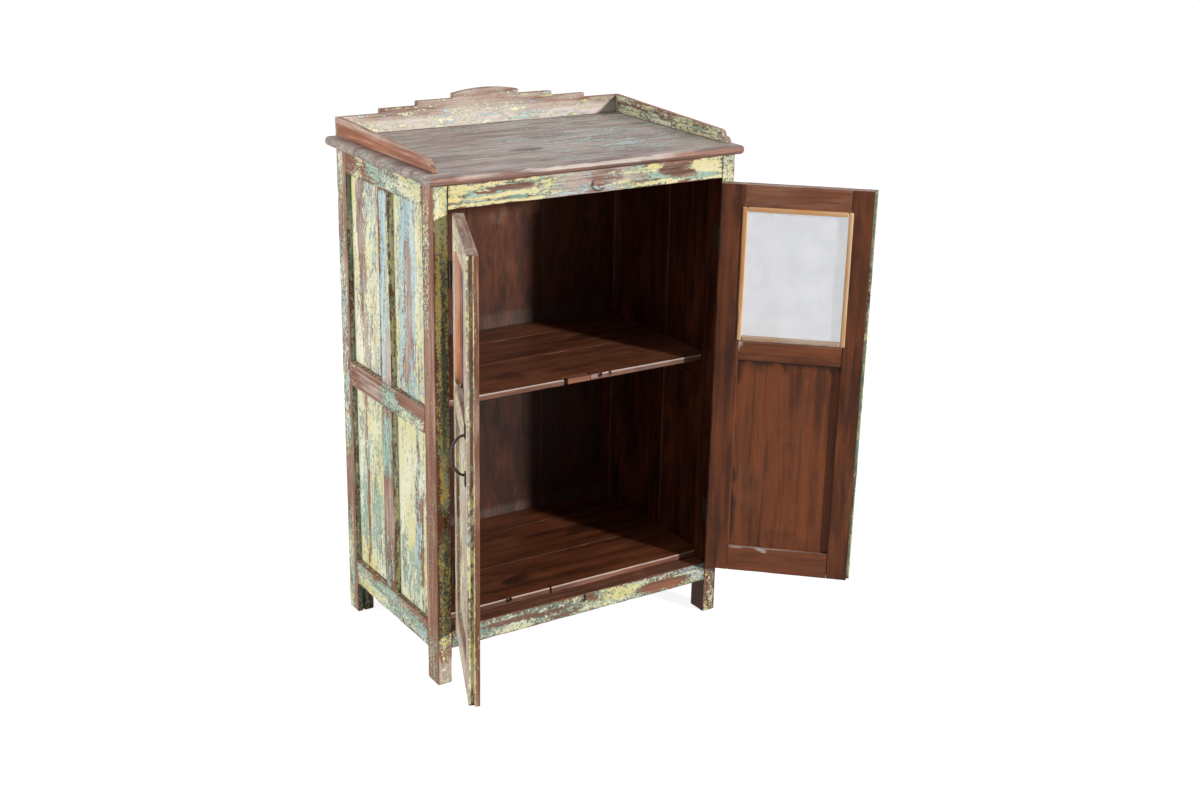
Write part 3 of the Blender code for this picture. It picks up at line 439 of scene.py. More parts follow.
def old_wood(name, bare, inside, rough=(0.66, 0.48), short=1.0, mosaic=0.0, haze=0.0):
    """Old boards: bare or stained wood under up to three worn coats of paint. bare and inside are three
    colours; short above 1 makes the figure mottled instead of streaked, mosaic makes the chips round instead
    of long, and haze makes the figure weaker and rubs the paint out softly."""
    g = Surface(name)
    grain = g.attribute("grain", "Vector")
    yellow, teal, sky = g.split("SeparateColor", g.attribute("coat", "Color"))
    pale, dirt, warm = g.split("SeparateColor", g.attribute("tone", "Color"))
    stain = g.attribute("coat", "Alpha")

    def streaks(along, scale, detail, rough, distortion=0.0, shift=(0, 0, 0)):
        return g.noise(g.stretch(grain, (1, 1, along), shift), scale, detail, rough, distortion)

    broad = streaks(0.06 * short, 55.0, 4.0, 0.6, 0.6)
    figure = streaks(0.035 * short, 150.0, 4.0, 0.65, 0.5)
    fibre = streaks(0.03, 520.0, 3.0, 0.65)
    cloud = streaks(0.35, 16.0, 3.0, 0.55)
    speck = streaks(0.6, 260.0, 4.0, 0.7)
    blotch = streaks(0.3, 26.0, 4.0, 0.62, 0.8, (3.1, 1.7, 0.4))

    def timber(colours, lines, blotches):
        dark, middle, light = (srgb(*c) for c in colours)
        colour = g.mix(g.ramp(broad, 0.34, 0.6), dark, middle)
        colour = g.mix(g.ramp(cloud, 0.45, 0.72) * 0.75, colour, light)
        colour = g.mix(g.ramp(figure, 0.4, 0.58, lines, 0.0), colour, dark)
        colour = g.mix(g.ramp(blotch, 0.36, 0.56, blotches, 0.0), colour, dark)
        return g.mix(g.ramp(fibre, 0.36, 0.62, 0.35, 0.0), colour, dark)

    # The wood itself: warm places, paleness from wear and painted highlights, and darkening from dirt and
    # painted shade
    wood = g.mix(stain, timber(bare, 0.5 - 0.3 * haze, 0.2 + 0.2 * haze), timber(inside, 0.3, 0.5))
    ember = g.mix(g.ramp(figure, 0.4, 0.6, 0.6, 0.0), srgb(184, 114, 78), srgb(112, 66, 46))
    ember = g.mix(g.ramp(warm, 1.0, 2.0), ember, srgb(248, 168, 120))
    glow = warm * g.ramp(broad * 0.6 + blotch * 0.4, 0.34, 0.66, 0.2, 0.85)
    wood = g.mix(glow, wood, g.mix(stain, ember, srgb(150, 84, 48)))
    uneven = (figure * 1.7 + blotch * 1.1 - 1.4) * g.ramp(stain, 0.5, 1.0, 1.0, 0.18)
    # Paleness: pale wear and dust, and painted highlights where a layout asks for them
    pale_wear_and_highlight = g.ramp(pale + uneven, 0.1, 1.2) * g.ramp(stain, 0.0, 1.0, 0.9, 0.3)
    wood = g.mix(pale_wear_and_highlight, wood, g.mix(g.ramp(pale, 1.0, 1.6), srgb(218, 203, 191), srgb(236, 231, 228)))
    # Darkening: dirt, and painted shade where a layout asks for it
    dirt_and_shade_mask = g.ramp(dirt + (cloud - 0.5) * 1.2, 0.2, 1.0)
    wood = g.mix(dirt_and_shade_mask * 0.85, wood, srgb(24, 15, 11))

    def chips(shift):
        flake = streaks(0.5 + 0.4 * mosaic, 190.0, 6.0, 0.74, 0.3, shift)
        long = streaks(0.1, 150.0, 5.0, 0.7, 0.3, shift)
        patch = streaks(0.35, 42.0, 4.0, 0.65, 0.0, shift)
        total = flake * (0.45 + 0.2 * mosaic) + long * (0.32 - 0.2 * mosaic) + patch * 0.23
        return g.ramp(total, 0.38, 0.62)

    def left_on(cover, worn, more=0.0):
        soft = 0.05 + 0.25 * haze
        return g.ramp(cover, 0.01, 0.09) * g.ramp(cover + more - worn, -soft, soft)

    # Where paint is left, with a rim of the coat below it
    worn_low, worn_top = chips((0.7, 0.3, 0.1)), chips((2.3, 1.1, 0.6))
    on_teal = left_on(teal, worn_low)
    on_sky = left_on(sky, worn_low)
    on_yellow = left_on(yellow, worn_top)
    rim_low = left_on(g.math("MAXIMUM", teal, sky), worn_low, 0.1)
    rim_top = left_on(yellow, worn_top, 0.12)

    # The coats, one over the other, then pits, and dirt and painted shade on them
    shade = g.ramp(figure, 0.34, 0.66)
    teal_paint = g.mix(shade, srgb(134, 168, 150), srgb(182, 206, 188))
    sky_paint = g.mix(shade, srgb(164, 195, 201), srgb(210, 224, 219))
    yellow_paint = g.mix(g.ramp(cloud, 0.32, 0.66), srgb(226, 217, 150), srgb(240, 238, 212))
    yellow_paint = g.mix(g.ramp(figure, 0.52, 0.72, 0.0, 0.6), yellow_paint, srgb(240, 241, 224))
    gold = g.mix(g.ramp(speck, 0.4, 0.6), srgb(230, 198, 96), srgb(255, 234, 142))
    under = g.mix(g.ramp(speck, 0.42, 0.58), srgb(96, 116, 104), srgb(176, 190, 172))
    # A dark rim round chips in the lower coats: dirt at the paint's edge, and painted shade of its step
    colour = g.mix(rim_low * 0.5, wood, srgb(84, 62, 50))
    colour = g.mix(on_teal, colour, teal_paint)
    colour = g.mix(on_sky, colour, sky_paint)
    colour = g.mix(rim_top * 0.7, colour, under)
    colour = g.mix(on_yellow, colour, g.mix(warm, yellow_paint, gold))
    paint_on = g.math("MAXIMUM", g.math("MAXIMUM", on_teal, on_sky), on_yellow)
    crowd = g.ramp(g.noise(grain, 34.0, 2.0, 0.6), 0.42, 0.66, 0.1, 0.9)
    pits = g.ramp(speck, 0.57, 0.64) * (paint_on * crowd)
    colour = g.mix(pits, colour, srgb(108, 98, 80))
    paint_dirt_and_shade = dirt_and_shade_mask * paint_on * g.ramp(on_yellow, 0.0, 1.0, 0.8, 0.35)
    colour = g.mix(paint_dirt_and_shade, colour, srgb(52, 56, 38))

    height = (on_teal + on_sky) * 0.25 + on_yellow * 0.4 + fibre * 0.35 - pits * 0.3
    return g.finish({
        "Base Color": colour,
        "Roughness": g.ramp(stain, 0.0, 1.0, *rough) + (broad - 0.5) * 0.3,
        "Specular IOR Level": 0.22,
        "Normal": g.bump(height, 0.0007, 0.7),
    })


def iron(name, light, dark, rust, metallic):
    g = Surface(name)
    at = g.wire("Object", "TexCoord")
    spots = g.noise(at, 420.0, 5.0, 0.65)
    colour = g.mix(g.ramp(spots, 0.35, 0.65), srgb(*dark), srgb(*light))
    return g.finish({
        "Base Color": g.mix(g.ramp(g.noise(at, 90.0, 3.0, 0.6), 0.55, 0.72), colour, srgb(*rust)),
        "Roughness": g.ramp(spots, 0.3, 0.7, 0.42, 0.7),
        "Metallic": metallic,
        "Normal": g.bump(spots, 0.0004, 0.6),
    })


def gauze_material(pitch=0.0014, wander=0.0012):
    """Fine woven wire: the holes between the wires are left open."""
    g = Surface("wire_gauze")
    grain = g.attribute("grain", "Vector")
    bent = g.stretch(g.wire(1, "TexNoise", ("Vector", grain), ("Scale", 30.0)), (wander,) * 3, grain)
    x, _, z = g.split("SeparateXYZ", bent)
    wires = [g.math("ABSOLUTE", g.math("SINE", at * (math.pi / pitch))) for at in (x, z)]
    over = g.math("MAXIMUM", *wires)
    blot = g.noise(grain, 24.0, 4.0, 0.6)
    colour = g.mix(g.ramp(blot, 0.35, 0.65), srgb(170, 174, 187), srgb(194, 197, 207))
    _, stained, _ = g.split("SeparateColor", g.attribute("tone", "Color"))
    return g.finish({
        "Base Color": g.mix(stained, colour, srgb(150, 132, 96)),
        "Roughness": g.ramp(blot, 0.3, 0.7, 0.45, 0.62),
        "Metallic": 0.25,
        "Alpha": g.ramp(over, 0.86, 0.94),
        "Normal": g.bump(over, 0.0003, 0.6),
    })


OUTSIDE = ((112, 72, 54), (160, 115, 92), (190, 148, 126))
INSIDE = ((50, 24, 14), (118, 66, 42), (156, 93, 59))
WALL = ((32, 14, 9), (64, 32, 20), (92, 51, 33))
WEATHERED = ((104, 84, 80), (158, 136, 131), (186, 168, 163))
UNPAINTED = ((92, 66, 52), (132, 102, 82), (160, 132, 110))
FRESH = ((226, 160, 100), (255, 214, 160), (255, 226, 180))
PAINTED = old_wood("worn_painted_wood", OUTSIDE, INSIDE)
FLAKED = old_wood("flaked_painted_wood", OUTSIDE, INSIDE, mosaic=1.0)
TOP = old_wood("weathered_top_wood", WEATHERED, INSIDE, (0.5, 0.45), haze=1.0)
BACK = old_wood("bare_back_wood", UNPAINTED, INSIDE, (0.75, 0.5))
LINING = old_wood("dark_wall_wood", OUTSIDE, WALL, (0.75, 0.5), short=4.0)
BEAD = old_wood("pale_bead_wood", FRESH, INSIDE, (0.6, 0.5))
IRON = iron("black_iron", (92, 81, 76), (40, 35, 34), (100, 74, 60), 0.65)
PAINTED_IRON = iron("painted_iron", (88, 66, 52), (46, 32, 26), (98, 86, 76), 0.3)
GAUZE = gauze_material()

STAINED = "stain 1"


# Sides

GROOVE = 0.008  # depth of the grooves that hold the side panels
LEDGE_IN, LEDGE_DEEP = 0.016, 0.0055  # ledge in the rails for floor and shelf: how far in, and its depth
HALVING = 0.0105  # how far in the muntin starts behind the middle rail
SIDE_LOOKS = {
    "upper_back": """
        y .3 s .4 pale .45; 0 .23 0 1: y .9; .22 .42 .35 1: y .12; .3 .56 0 .45: y .3; .22 .42 0 1: s .12;
        .42 .72 .55 1: s .8; .42 .72 .15 .9: y .66; .68 1 .15 1: y .7; .66 1 0 1: s .75; 0 .36 0 .18: y .92;
        .32 .8 0 .5: pale .7
    """,
    "upper_front": """
        s .4; 0 .17 0 1: y .95; .17 .33 0 1: s .9 y .35; .3 .6 0 1: pale .6; .33 .5 0 .8: s .2;
        .33 .5 .75 1: s .6; .5 .64 0 1: s .95; .6 1 0 1: y .86; .73 .83 0 1: y .6; .7 .86 0 1: s .8;
        .15 .6 0 .12: t .7
    """,
    "lower_back": """
        t .75 s .3 pale .5 y .5; 0 .16 0 1 ~.08: y .85; .14 .3 .2 .8 ~.08: t .95; .14 .3 .2 .75 ~.08: y .36;
        .36 .8 0 1 ~.08: y .72; .48 .66 .1 .5 ~.1: y .4; .46 .68 .1 .5 ~.1: t .95; 0 1 0 .12 ~.08: y .95;
        0 .3 .86 1 ~.08: y .9; .3 .36 .04 .96 ~.03: y .05; .3 .36 0 1 ~.03: t .06; .29 .37 0 1 ~.03: s .04;
        .28 .38 0 1 ~.03: pale .35 warm .5; .3 .5 .7 .96 ~.08: y .5
    """,
    "lower_front": """
        y 1 t .85; 0 .52 .36 1 ~.1: y 1.15; .1 .5 .04 .32 ~.1: y .42; .52 .65 0 1 ~.06: y .22;
        .5 .66 .25 1 ~.06: s .75; .65 .73 .14 .62 ~.04: y .05 t .06; .65 .73 .1 .62 ~.04: s .05;
        .73 1 0 1 ~.04: y .85; .4 .8 0 .14 ~.08: y .5
    """,
    "muntin": """
        .12 .85 .5 1: s .92; 0 .2 .79 1: s .15; .74 1 .68 .9: y .85; .5 1 .53 .7: pale .95 s .3;
        .05 .95 .29 .48 ~.08: t .9; .12 .85 .3 .48 ~.08: s .42; 0 1 .15 .29 ~.08: t .16;
        0 1 .12 .3 ~.1: pale .4; 0 1 0 .14 ~.08: t .6; .2 .8 .04 .14 ~.08: s .3
    """,
    "top_rail": """
        t .16; .12 .19 0 1: y .9; .3 .72 0 1: t .9; .4 .75 0 .6: s .5; .48 .62 0 .5: y .8; .7 1 0 1: y .86;
        .68 1 0 1: t .85; .05 .3 .8 1: y .5
    """,
    "mid_rail": """
        .1 .45 0 1: pale .55; .4 .66 0 1: t .85; .62 1 0 .5: t .8; .66 1 0 .42: y .55; 0 .06 0 1: y .4
    """,
    "bottom_rail": """
        t .85; 0 .5 0 .45: y .75; .05 .2 .4 1: y .45; .1 .36 .6 1: t .4; .6 1 .65 1: t .5;
        .35 .7 .4 .9: y .4; .5 1 0 .4: y .5; .75 1 0 .4: s .5
    """,
    "front_post": """
        t .1 y .05 pale .2 warm .3; .1 .6 .7 .94 ~.1: s .45; .05 .55 .74 .96 ~.1: y .38; .1 .9 0 .1: t .4;
        .2 .7 .3 .4 ~.1: t .22; .1 .5 0 .1: y .3
    """,
    "back_post": """
        pale .3; 0 .7 0 1: t .6; 0 .6 0 1: y .5; .2 1 .78 .92: t .15; .1 1 .78 .92: y .12;
        0 .8 .4 .75: s .6; .2 .8 .55 .76: y .4; .1 .7 .35 .55: t .7; 0 1 .2 .35: t .12; 0 1 .2 .33: y .08
    """,
}
# On the front post the warmth from .05 to .9 up, where the open left door shades the left post, turns the
# yellow gold: painted shade colour
POST_FRONT = """
    y .5 t .7; 0 .15 0 1: y .1; 0 .12 0 1: t .1; .12 .5 .42 1 ~.1: y .95; .45 .8 .36 .9: y .16;
    .42 .85 .1 .92: t 1; .45 .9 .05 .88: dirt .9; .82 1 .36 1: y .9; 0 1 .93 1: y .86; 0 .5 .5 .64: y .3;
    .1 .9 .46 .52: y .6; 0 .5 .6 .8: t .2; 0 .45 .3 .38: y .08 t .08; .1 1 .1 .3: y .5;
    .3 .9 .05 .11: y .95; 0 .14 0 .92: dirt .35; 0 1 0 .05: pale .6; 0 1 .05 .9 ~.06: warm .85;
    0 1 .94 1: y .74 t .8; 0 1 0 .085 ~.03: y .14; 0 1 0 .09 ~.03: t .12; 0 1 0 .08 ~.03: dirt .1 warm .1;
    0 1 0 .06 ~.02: pale .65; 0 1 0 .05 ~.03: y .3; 0 1 .065 .095 ~.02: pale .05;
    .3 1 .37 .5 ~.08: y .6 dirt .3; 0 .3 .38 .5 ~.06: y .1; 0 .28 .38 .5 ~.06: t .1;
    0 1 .325 .355 ~.04: y .06 t .1
"""
DARK_FOOT = """;
    0 1 0 .12 ~.03: pale .05 dirt .5; .3 1 .01 .08 ~.03: y .42
"""


def side_looks(name, side, **edges):
    """Outside layout, stained inside, and layouts for the front and back edges where they show."""
    outer, inner = ("-x", "+x") if side < 0 else ("+x", "-x")
    looks = {outer: SIDE_LOOKS[name], inner: STAINED, "*": "t .35 y .3 dirt .4"}
    return looks | {{"front": "-y", "back": "+y"}[edge]: layout for edge, layout in edges.items()}


def make_legs(name, side, seed, groove):
    low, high = extent(f"front_post_{name}")
    looks = side_looks("front_post", side, front=POST_FRONT + (DARK_FOOT if side > 0 else ""), back=STAINED)
    ploughed = cut(groove, (high[1] - GROOVE, FAR))
    leg = plank(low, high, looks, radius=0.0016, cuts=[ploughed], seed=seed, chips=1.0)
    piece(f"front_leg_{name}", [leg], FLAKED, "painted_wood", f"front_post_{name}")
    low, high = extent(f"back_post_{name}")
    room = ".36 1" if side < 0 else "0 .64"
    edge = f"t .7 y .35 dirt .55; {room} .06 1 ~.03: y 0 t 0 dirt .1 stain 1"
    looks = side_looks("back_post", side, front=edge, back="t .3 y .2 pale .5")
    ploughed = cut(groove, (-FAR, low[1] + GROOVE))
    leg = plank(low, high, looks, radius=0.002, cuts=[ploughed], seed=seed + 10, chips=1.2)
    piece(f"back_leg_{name}", [leg], PAINTED, "painted_wood", f"back_post_{name}")


def make_side(name, side, seed):
    """Legs, rails, upright and panels of one side; side is -1 on the left and 1 on the right."""
    front, back, muntin = (extent(f"{node}_{name}") for node in ("front_post", "back_post", "side_muntin"))
    rails = {level: extent(f"side_{level}_rail_{name}") for level in LEVELS}
    panel = extent(f"side_panel_upper_front_{name}")
    groove = (panel[0][0] - GAP, panel[1][0] + GAP)
    outer = front[0][0] if side < 0 else front[1][0]

    def inset(a, b):
        """x limits measured inwards from the outer face."""
        return sorted((outer - side * a, outer - side * b))

    make_legs(name, side, seed, groove)
    for number, (level, (low, high)) in enumerate(rails.items()):
        cuts = []
        if level != "bottom":
            cuts.append(cut(groove, z=(-FAR, low[2] + GROOVE)))
        if level != "top":
            cuts.append(cut(groove, z=(high[2] - GROOVE, FAR)))
            cuts.append(cut(inset(LEDGE_IN, FAR), z=(high[2] - LEDGE_DEEP, FAR)))
        if level == "mid":
            cuts.append(cut(inset(HALVING, FAR), (muntin[0][1] - GAP, muntin[1][1] + GAP)))
        start, end = (low[0], front[1][1] + GAP, low[2]), (high[0], back[0][1] - GAP, high[2])
        looks = side_looks(f"{level}_rail", side)
        board = plank(start, end, looks, 1, tight(1), cuts=cuts, seed=seed + 20 + number)
        piece(f"side_{level}_bar_{name}", [board], FLAKED, "painted_wood", f"side_{level}_rail_{name}")
    low, high = muntin
    low[2], high[2] = rails["bottom"][1][2] + GAP, rails["top"][0][2] - GAP
    cuts = [
        cut(groove, (-FAR, low[1] + GROOVE)),
        cut(groove, (high[1] - GROOVE, FAR)),
        cut(inset(-FAR, HALVING + GAP), z=(rails["mid"][0][2] - GAP, rails["mid"][1][2] + GAP)),
    ]
    room = ".55 1" if side < 0 else "0 .45"
    edge = f"y .75 t .6 dirt .35; {room} 0 1 ~.02: y 0 t 0 stain 1"
    looks = side_looks("muntin", side, front=edge, back=edge)
    board = plank(low, high, looks, radius=tight(2), cuts=cuts, seed=seed + 30)
    piece(f"side_upright_{name}", [board], PAINTED, "painted_wood", f"side_muntin_{name}")
    bays = [f"{level}_{bay}" for level in ("upper", "lower") for bay in ("front", "back")]
    for number, bay in enumerate(bays):
        low, high = extent(f"side_panel_{bay}_{name}")
        looks = side_looks(bay, side)
        board = plank(low, high, looks, radius=0.0006, seed=seed + 40 + number, wear=0.15, chips=0.3)
        piece(f"side_board_{bay}_{name}", [board], PAINTED, "painted_wood", f"side_panel_{bay}_{name}")


# Rails between the legs

TOP_RAIL_FRONT = """
    y .95 t .75; oval .21 .65 .1 .16: y .02; oval .22 .65 .09 .13: t .02; oval .21 .65 .09 .13: dirt .5;
    oval .21 .65 .1 .15: pale .35; .02 .36 .16 .3 ~.1: y .3; oval .1 .5 .05 .1: y .1; .35 .64 0 1: y .16;
    .36 .66 0 1: t .36; .36 .68 0 1: s .36; .33 .68 0 1: pale .9; oval .53 .55 .06 .5: pale .4;
    oval .54 .65 .03 .3: dirt .3; oval .83 .6 .06 .34: dirt .55 t .02; oval .83 .6 .07 .36: pale .35;
    .62 .72 0 1: y .55; oval .83 .6 .07 .4: y .02; oval .9 .25 .06 .14: y .05; oval .74 .45 .05 .2: y .2;
    0 .34 0 1: warm .4; .68 1 0 1: warm .4
"""
BOTTOM_RAIL_FRONT = """
    t .75 y .45 dirt .5; 0 .13 0 1: y .12; .13 .4 .05 .45: y .75; oval .18 .6 .07 .13: t .02;
    oval .18 .6 .08 .15: y .05; oval .28 .64 .08 .12: t .02; oval .28 .64 .08 .14: y .05;
    oval .37 .55 .06 .1: t .02; oval .37 .55 .06 .12: y .05; oval .43 .22 .045 .12: t .02;
    oval .43 .22 .045 .14: y .05; .57 .74 0 1: y .78; oval .83 .42 .11 .32: y .04; oval .83 .4 .1 .3: t .04;
    oval .8 .25 .08 .2: warm .9; .85 1 .74 1 ~.08: s .92 y .12; .85 .96 .6 .7 ~.05: y .85;
    .93 1 .15 .6 ~.08: s .8; .95 1 0 1: t .9; oval .54 .75 .04 .25: t .1 y .05; .87 1 0 1 ~.08: dirt .5
"""
TOP_RAIL_MARKS = (  # form, x, z, half width, half height, depth and how dark
    ("ring", -0.0285, 0.9515, 0.0150, 0.0125, 0.0024, 0.9),
    ("ring", -0.0235, 0.9475, 0.0058, 0.0042, 0.001, 0.9),
)
BOTTOM_RAIL_MARKS = (
    ("spot", -0.0225, 0.1095, 0.017, 0.0065, 0.003, 0.6),
    ("spot", -0.0443, 0.1065, 0.0052, 0.0095, 0.006, 1.3),
)


def pressed(marks):
    """A shape for a front board: bowls at the spots, and rings that are deepest at the lower left."""

    def shape(y, flat):
        front = flat[:, 1] < flat[:, 1].min() + 2 * CLOSEST
        for form, x, z, wide, tall, depth, _ in marks:
            across, up = (flat[:, 0] - x) / wide, (flat[:, 2] - z) / tall
            if form == "ring":
                push = crescent(across, up)
            else:
                push = smooth((1.15 - np.hypot(across, up)) / 0.5) * (0.6 + 0.8 * noise(flat, 120, 7))
            y = np.where(front, y + depth * push, y)
        return y

    return shape


def rail_box(where, level):
    """A rail's box without its tenons in the two legs."""
    low, high = extent(f"{where}_{level}_rail")
    low[0] = extent(f"{where}_post_left")[1][0] + GAP
    high[0] = extent(f"{where}_post_right")[0][0] - GAP
    return low, high


def make_cross_rails():
    for level, looks, marks, material, seed in (
        ("top", TOP_RAIL_FRONT, TOP_RAIL_MARKS, PAINTED, 73),
        ("bottom", BOTTOM_RAIL_FRONT, BOTTOM_RAIL_MARKS, FLAKED, 76),
    ):
        low, high = rail_box("front", level)
        long, _, height = high - low
        fine = []
        for form, x, z, wide, tall, _, dark in marks:
            fine += [(0, x - 1.4 * wide, x + 1.4 * wide), (2, z - 1.4 * tall, z + 1.4 * tall)]
            place = f"{(x - low[0]) / long} {(z - low[2]) / height} {wide / long} {tall / height}"
            looks += f"; {form} {place}: dirt {dark}"
        looks = {"-y": looks, "*": "stain .8 pale .3 warm .4"}
        board = plank(low, high, looks, 0, tight(0), 0.0045, seed=seed, shape=pressed(marks), fine=fine)
        piece(f"front_{level}_bar", [board], material, "painted_wood", f"front_{level}_rail")
    for level, seed in (("top", 78), ("bottom", 81)):
        board = plank(*rail_box("back", level), {"*": STAINED}, 0, seed=seed)
        piece(f"back_{level}_bar", [board], PAINTED, "bare_wood", f"back_{level}_rail")


# Back

BACK_SEAMS = (0.118, 0.273, 0.455)  # from the left edge
BACK_LAP, BACK_SLACK = 0.005, 0.0004
BACK_LOOKS = {
    # Seen from inside, each board is darker below .46 of its height
    "-y": """
        stain 1; 0 1 0 .46 ~.1: dirt .2; spot .5 .045 5 .045: pale .42; spot .5 .552 5 .025: pale .38;
        0 1 .6 1: warm .45
    """,
    "cut": "stain 1 dirt .7",
    "*": "pale .25 t .06 dirt .2",
}
WALL_MARKS = (  # on each board, seen from inside
    "oval .3 .7 .1 .1: dirt .4",
    "oval .4 .8 .1 .06: dirt .6; oval .26 .3 .1 .1: dirt .4",
    """
    oval .62 .771 .07 .036: dirt .75; oval .58 .75 .11 .05: dirt .5; oval .42 .812 .13 .022: pale .4;
    oval .78 .7 .16 .12: dirt .5; oval .3 .64 .08 .05: dirt .4; oval .6 .35 .08 .1: dirt .5;
    oval .25 .25 .08 .1: dirt .4
    """,
    "oval .6 .6 .1 .1: dirt .4",
)


def make_back():
    """Four upright boards of unequal width, lapped over one another."""
    low, high = extent("back_board_left")[0], extent("back_board_right")[1]
    half = (low[1] + high[1]) / 2
    seams = [low[0], *(low[0] + seam for seam in BACK_SEAMS), high[0]]
    boards = []
    for n, (start, end) in enumerate(zip(seams, seams[1:])):
        cuts = []
        if n < len(BACK_SEAMS):
            cuts.append(cut((end - BACK_SLACK, FAR), (-FAR, half + BACK_SLACK / 2)))
            end = end + BACK_LAP
        if n > 0:
            cuts.append(cut((-FAR, start + BACK_LAP + BACK_SLACK), (half - BACK_SLACK / 2, FAR)))
            start = start + BACK_SLACK
        looks = {**BACK_LOOKS, "-y": f"{BACK_LOOKS['-y']}; {WALL_MARKS[n]}"}
        boards.append(plank((start, *low[1:]), (end, *high[1:]), looks, pitch=0.008, cuts=cuts, seed=80 + n))
    made = piece("back_boarding", boards, BACK, "bare_wood", "back_board_left", "back_board_right")
    made.data.materials.append(LINING)
    made.data.polygons.foreach_set("material_index", [int(f.normal.y < -0.5) for f in made.data.polygons])


# Floor and shelf

EDGE_CUTS = {  # from x to x, how deep, and how far up the edge it starts
    "floor": ((-0.1024, -0.0998, 0.014, 0.0), (-0.2035, -0.1925, 0.0035, 0.55)),
    "shelf": ((-0.0725, -0.0109, 0.012, 0.0), (0.006, 0.014, 0.003, 0.5), (0.031, 0.0355, 0.0025, 0.6)),
}
NARROW = 0.02  # a narrower cut is a dark notch, and a wider one holds a patch
HALF_SEAM = 0.0004  # half the gap between the two boards behind the front one
# The front edge of a floor or shelf board; the pale band along its top arris is a painted highlight
EDGE = "stain .8 pale .35 warm .3; 0 1 .84 1 ~.06: stain .5 pale 1.2"
PATCH = "stain .35 warm .9 pale .2"
PATCH_NEAR, PATCH_FAR = (0.0085, GAP, 0.0002), (0.0004, GAP, 0.0007)  # gaps round it; the first is a hole
NOTCH_FINE = 0.004  # how far the close grid reaches past a notch
RUBBED = "; .49 .61 .2 1 ~.04: stain .55 pale .75"
STREAKS = (  # darker figure on a shelf board: its middle, half width, half height and how much darker
    (0.36, 0.5, 0.05, 0.16, 0.4), (0.7, 0.3, 0.04, 0.12, 0.2), (0.15, 0.25, 0.16, 0.07, 0.15),
    (0.55, 0.82, 0.2, 0.08, 0.2), (0.86, 0.65, 0.1, 0.07, 0.15),
)


def notches():
    """What the shelves are cut away for: the four legs and the two side uprights."""
    grow = np.array([GAP, GAP, FAR])
    found = []
    for name, _ in SIDES:
        for node in ("front_post", "back_post", "side_muntin"):
            low, high = extent(f"{node}_{name}")
            found.append((low - grow, high + grow))
    return found


def tread(dark, shift):
    looks = f"stain .95 warm {0.75 - dark} pale {0.5 - 1.6 * dark}"
    for t, s, wide, tall, more in STREAKS:
        looks += f"; oval {(t + shift) % 1} {s} {wide} {tall}: dirt {dark + more}"
    return looks


def make_shelves():
    around = notches()
    for label, seam, dark, hole in (("floor", 0.153, 0.25, 1.1), ("shelf", 0.124, 0.15, 0.5)):
        low, high = extent(f"{label}_front_board")
        long, _, tall = high - low
        edge = EDGE + (RUBBED if label == "shelf" else "")
        cuts, fine, patches = [], [], []
        for start, end, deep, up in EDGE_CUTS[label]:
            bottom = low[2] + tall * up if up else -FAR
            cuts.append(cut((start, end), (-FAR, low[1] + deep), (bottom, FAR)))
            if end - start < NARROW:
                fine.append((0, start - NOTCH_FINE, end + NOTCH_FINE))
                place = f"{((start + end) / 2 - low[0]) / long} {(1 + up) / 2}"
                size = f"{((end - start) / 2 + 0.0012) / long} {0.8 - 0.6 * up}"
                # Painted shade fills a narrow notch
                edge += f"; spot {place} {size}: dirt {hole} pale 0 stain 1"
            else:
                near = np.array([start, low[1], low[2]]) + PATCH_NEAR
                far = np.array([end, low[1] + deep, high[2]]) - PATCH_FAR
                patches.append(plank(near, far, {"*": PATCH}, 0, pitch=0.005, seed=88))
        # Faces cut round the legs and in the notches are dark: dirt, and painted shade in the recesses
        looks = {"+z": tread(dark, 0.0), "-y": edge, "cut": "stain 1 dirt .9", "*": "stain 1 dirt .3"}
        board = plank(low, high, looks, 0, 0.0018, 0.007, around + cuts, 100, chips=1.0, fine=fine)
        piece(f"{label}_front_plank", [board] + patches, PAINTED, "stained_wood", f"{label}_front_board")
        low, high = extent(f"{label}_back_board")
        looks["-y"] = "stain 1 pale .05 dirt .3"
        boards = []
        for start, end, shift, seed in (
            (low, (high[0], low[1] + seam - HALF_SEAM, high[2]), 0.37, 100),
            ((low[0], low[1] + seam + HALF_SEAM, low[2]), high, 0.71, 104),
        ):
            looks["+z"] = tread(dark, shift)
            boards.append(plank(start, end, looks, 0, pitch=0.008, cuts=around, seed=seed))
        piece(f"{label}_back_planks", boards, PAINTED, "stained_wood", f"{label}_back_board")


# Top and gallery

TOP_LOOKS = {
    "+z": """
        t .1 s .08 pale .45; .5 1 .2 1 ~.3: t .3; .4 1 .55 1 ~.3: s .3; 0 1 .85 1 ~.2: t .3;
        oval .434 .542 .035 .05: dirt .6; 0 .14 .6 1 ~.2: dirt .35; oval .72 .445 .05 .035: s .55;
        oval .64 .72 .05 .05: t .5; oval .9 .58 .07 .1: s .45; oval .85 .3 .08 .08: t .4
    """,
    # On the front nosing the pale bands along its upper half are painted highlights on pale wear, and the
    # dark band along its lower part is painted shade
    "-y": """
        warm .8 pale .1; .06 .2 .45 1 ~.1: pale .7; .3 .74 .5 1 ~.1: pale 1.1 warm .3;
        oval .68 .4 .03 .5: dirt .5; 0 1 0 .3 ~.12: dirt .5
    """,
    "-x": "t .14 y .1 pale .45 dirt .4",
    "+x": "t .14 y .1 pale .45 dirt .4",
    "-z": "stain .6 dirt .3",
    "*": "pale .3 t .2",
}
NOSING, TOP_SEAM, TOP_BACK = 0.0072, 0.0006, 0.0012  # edge radii
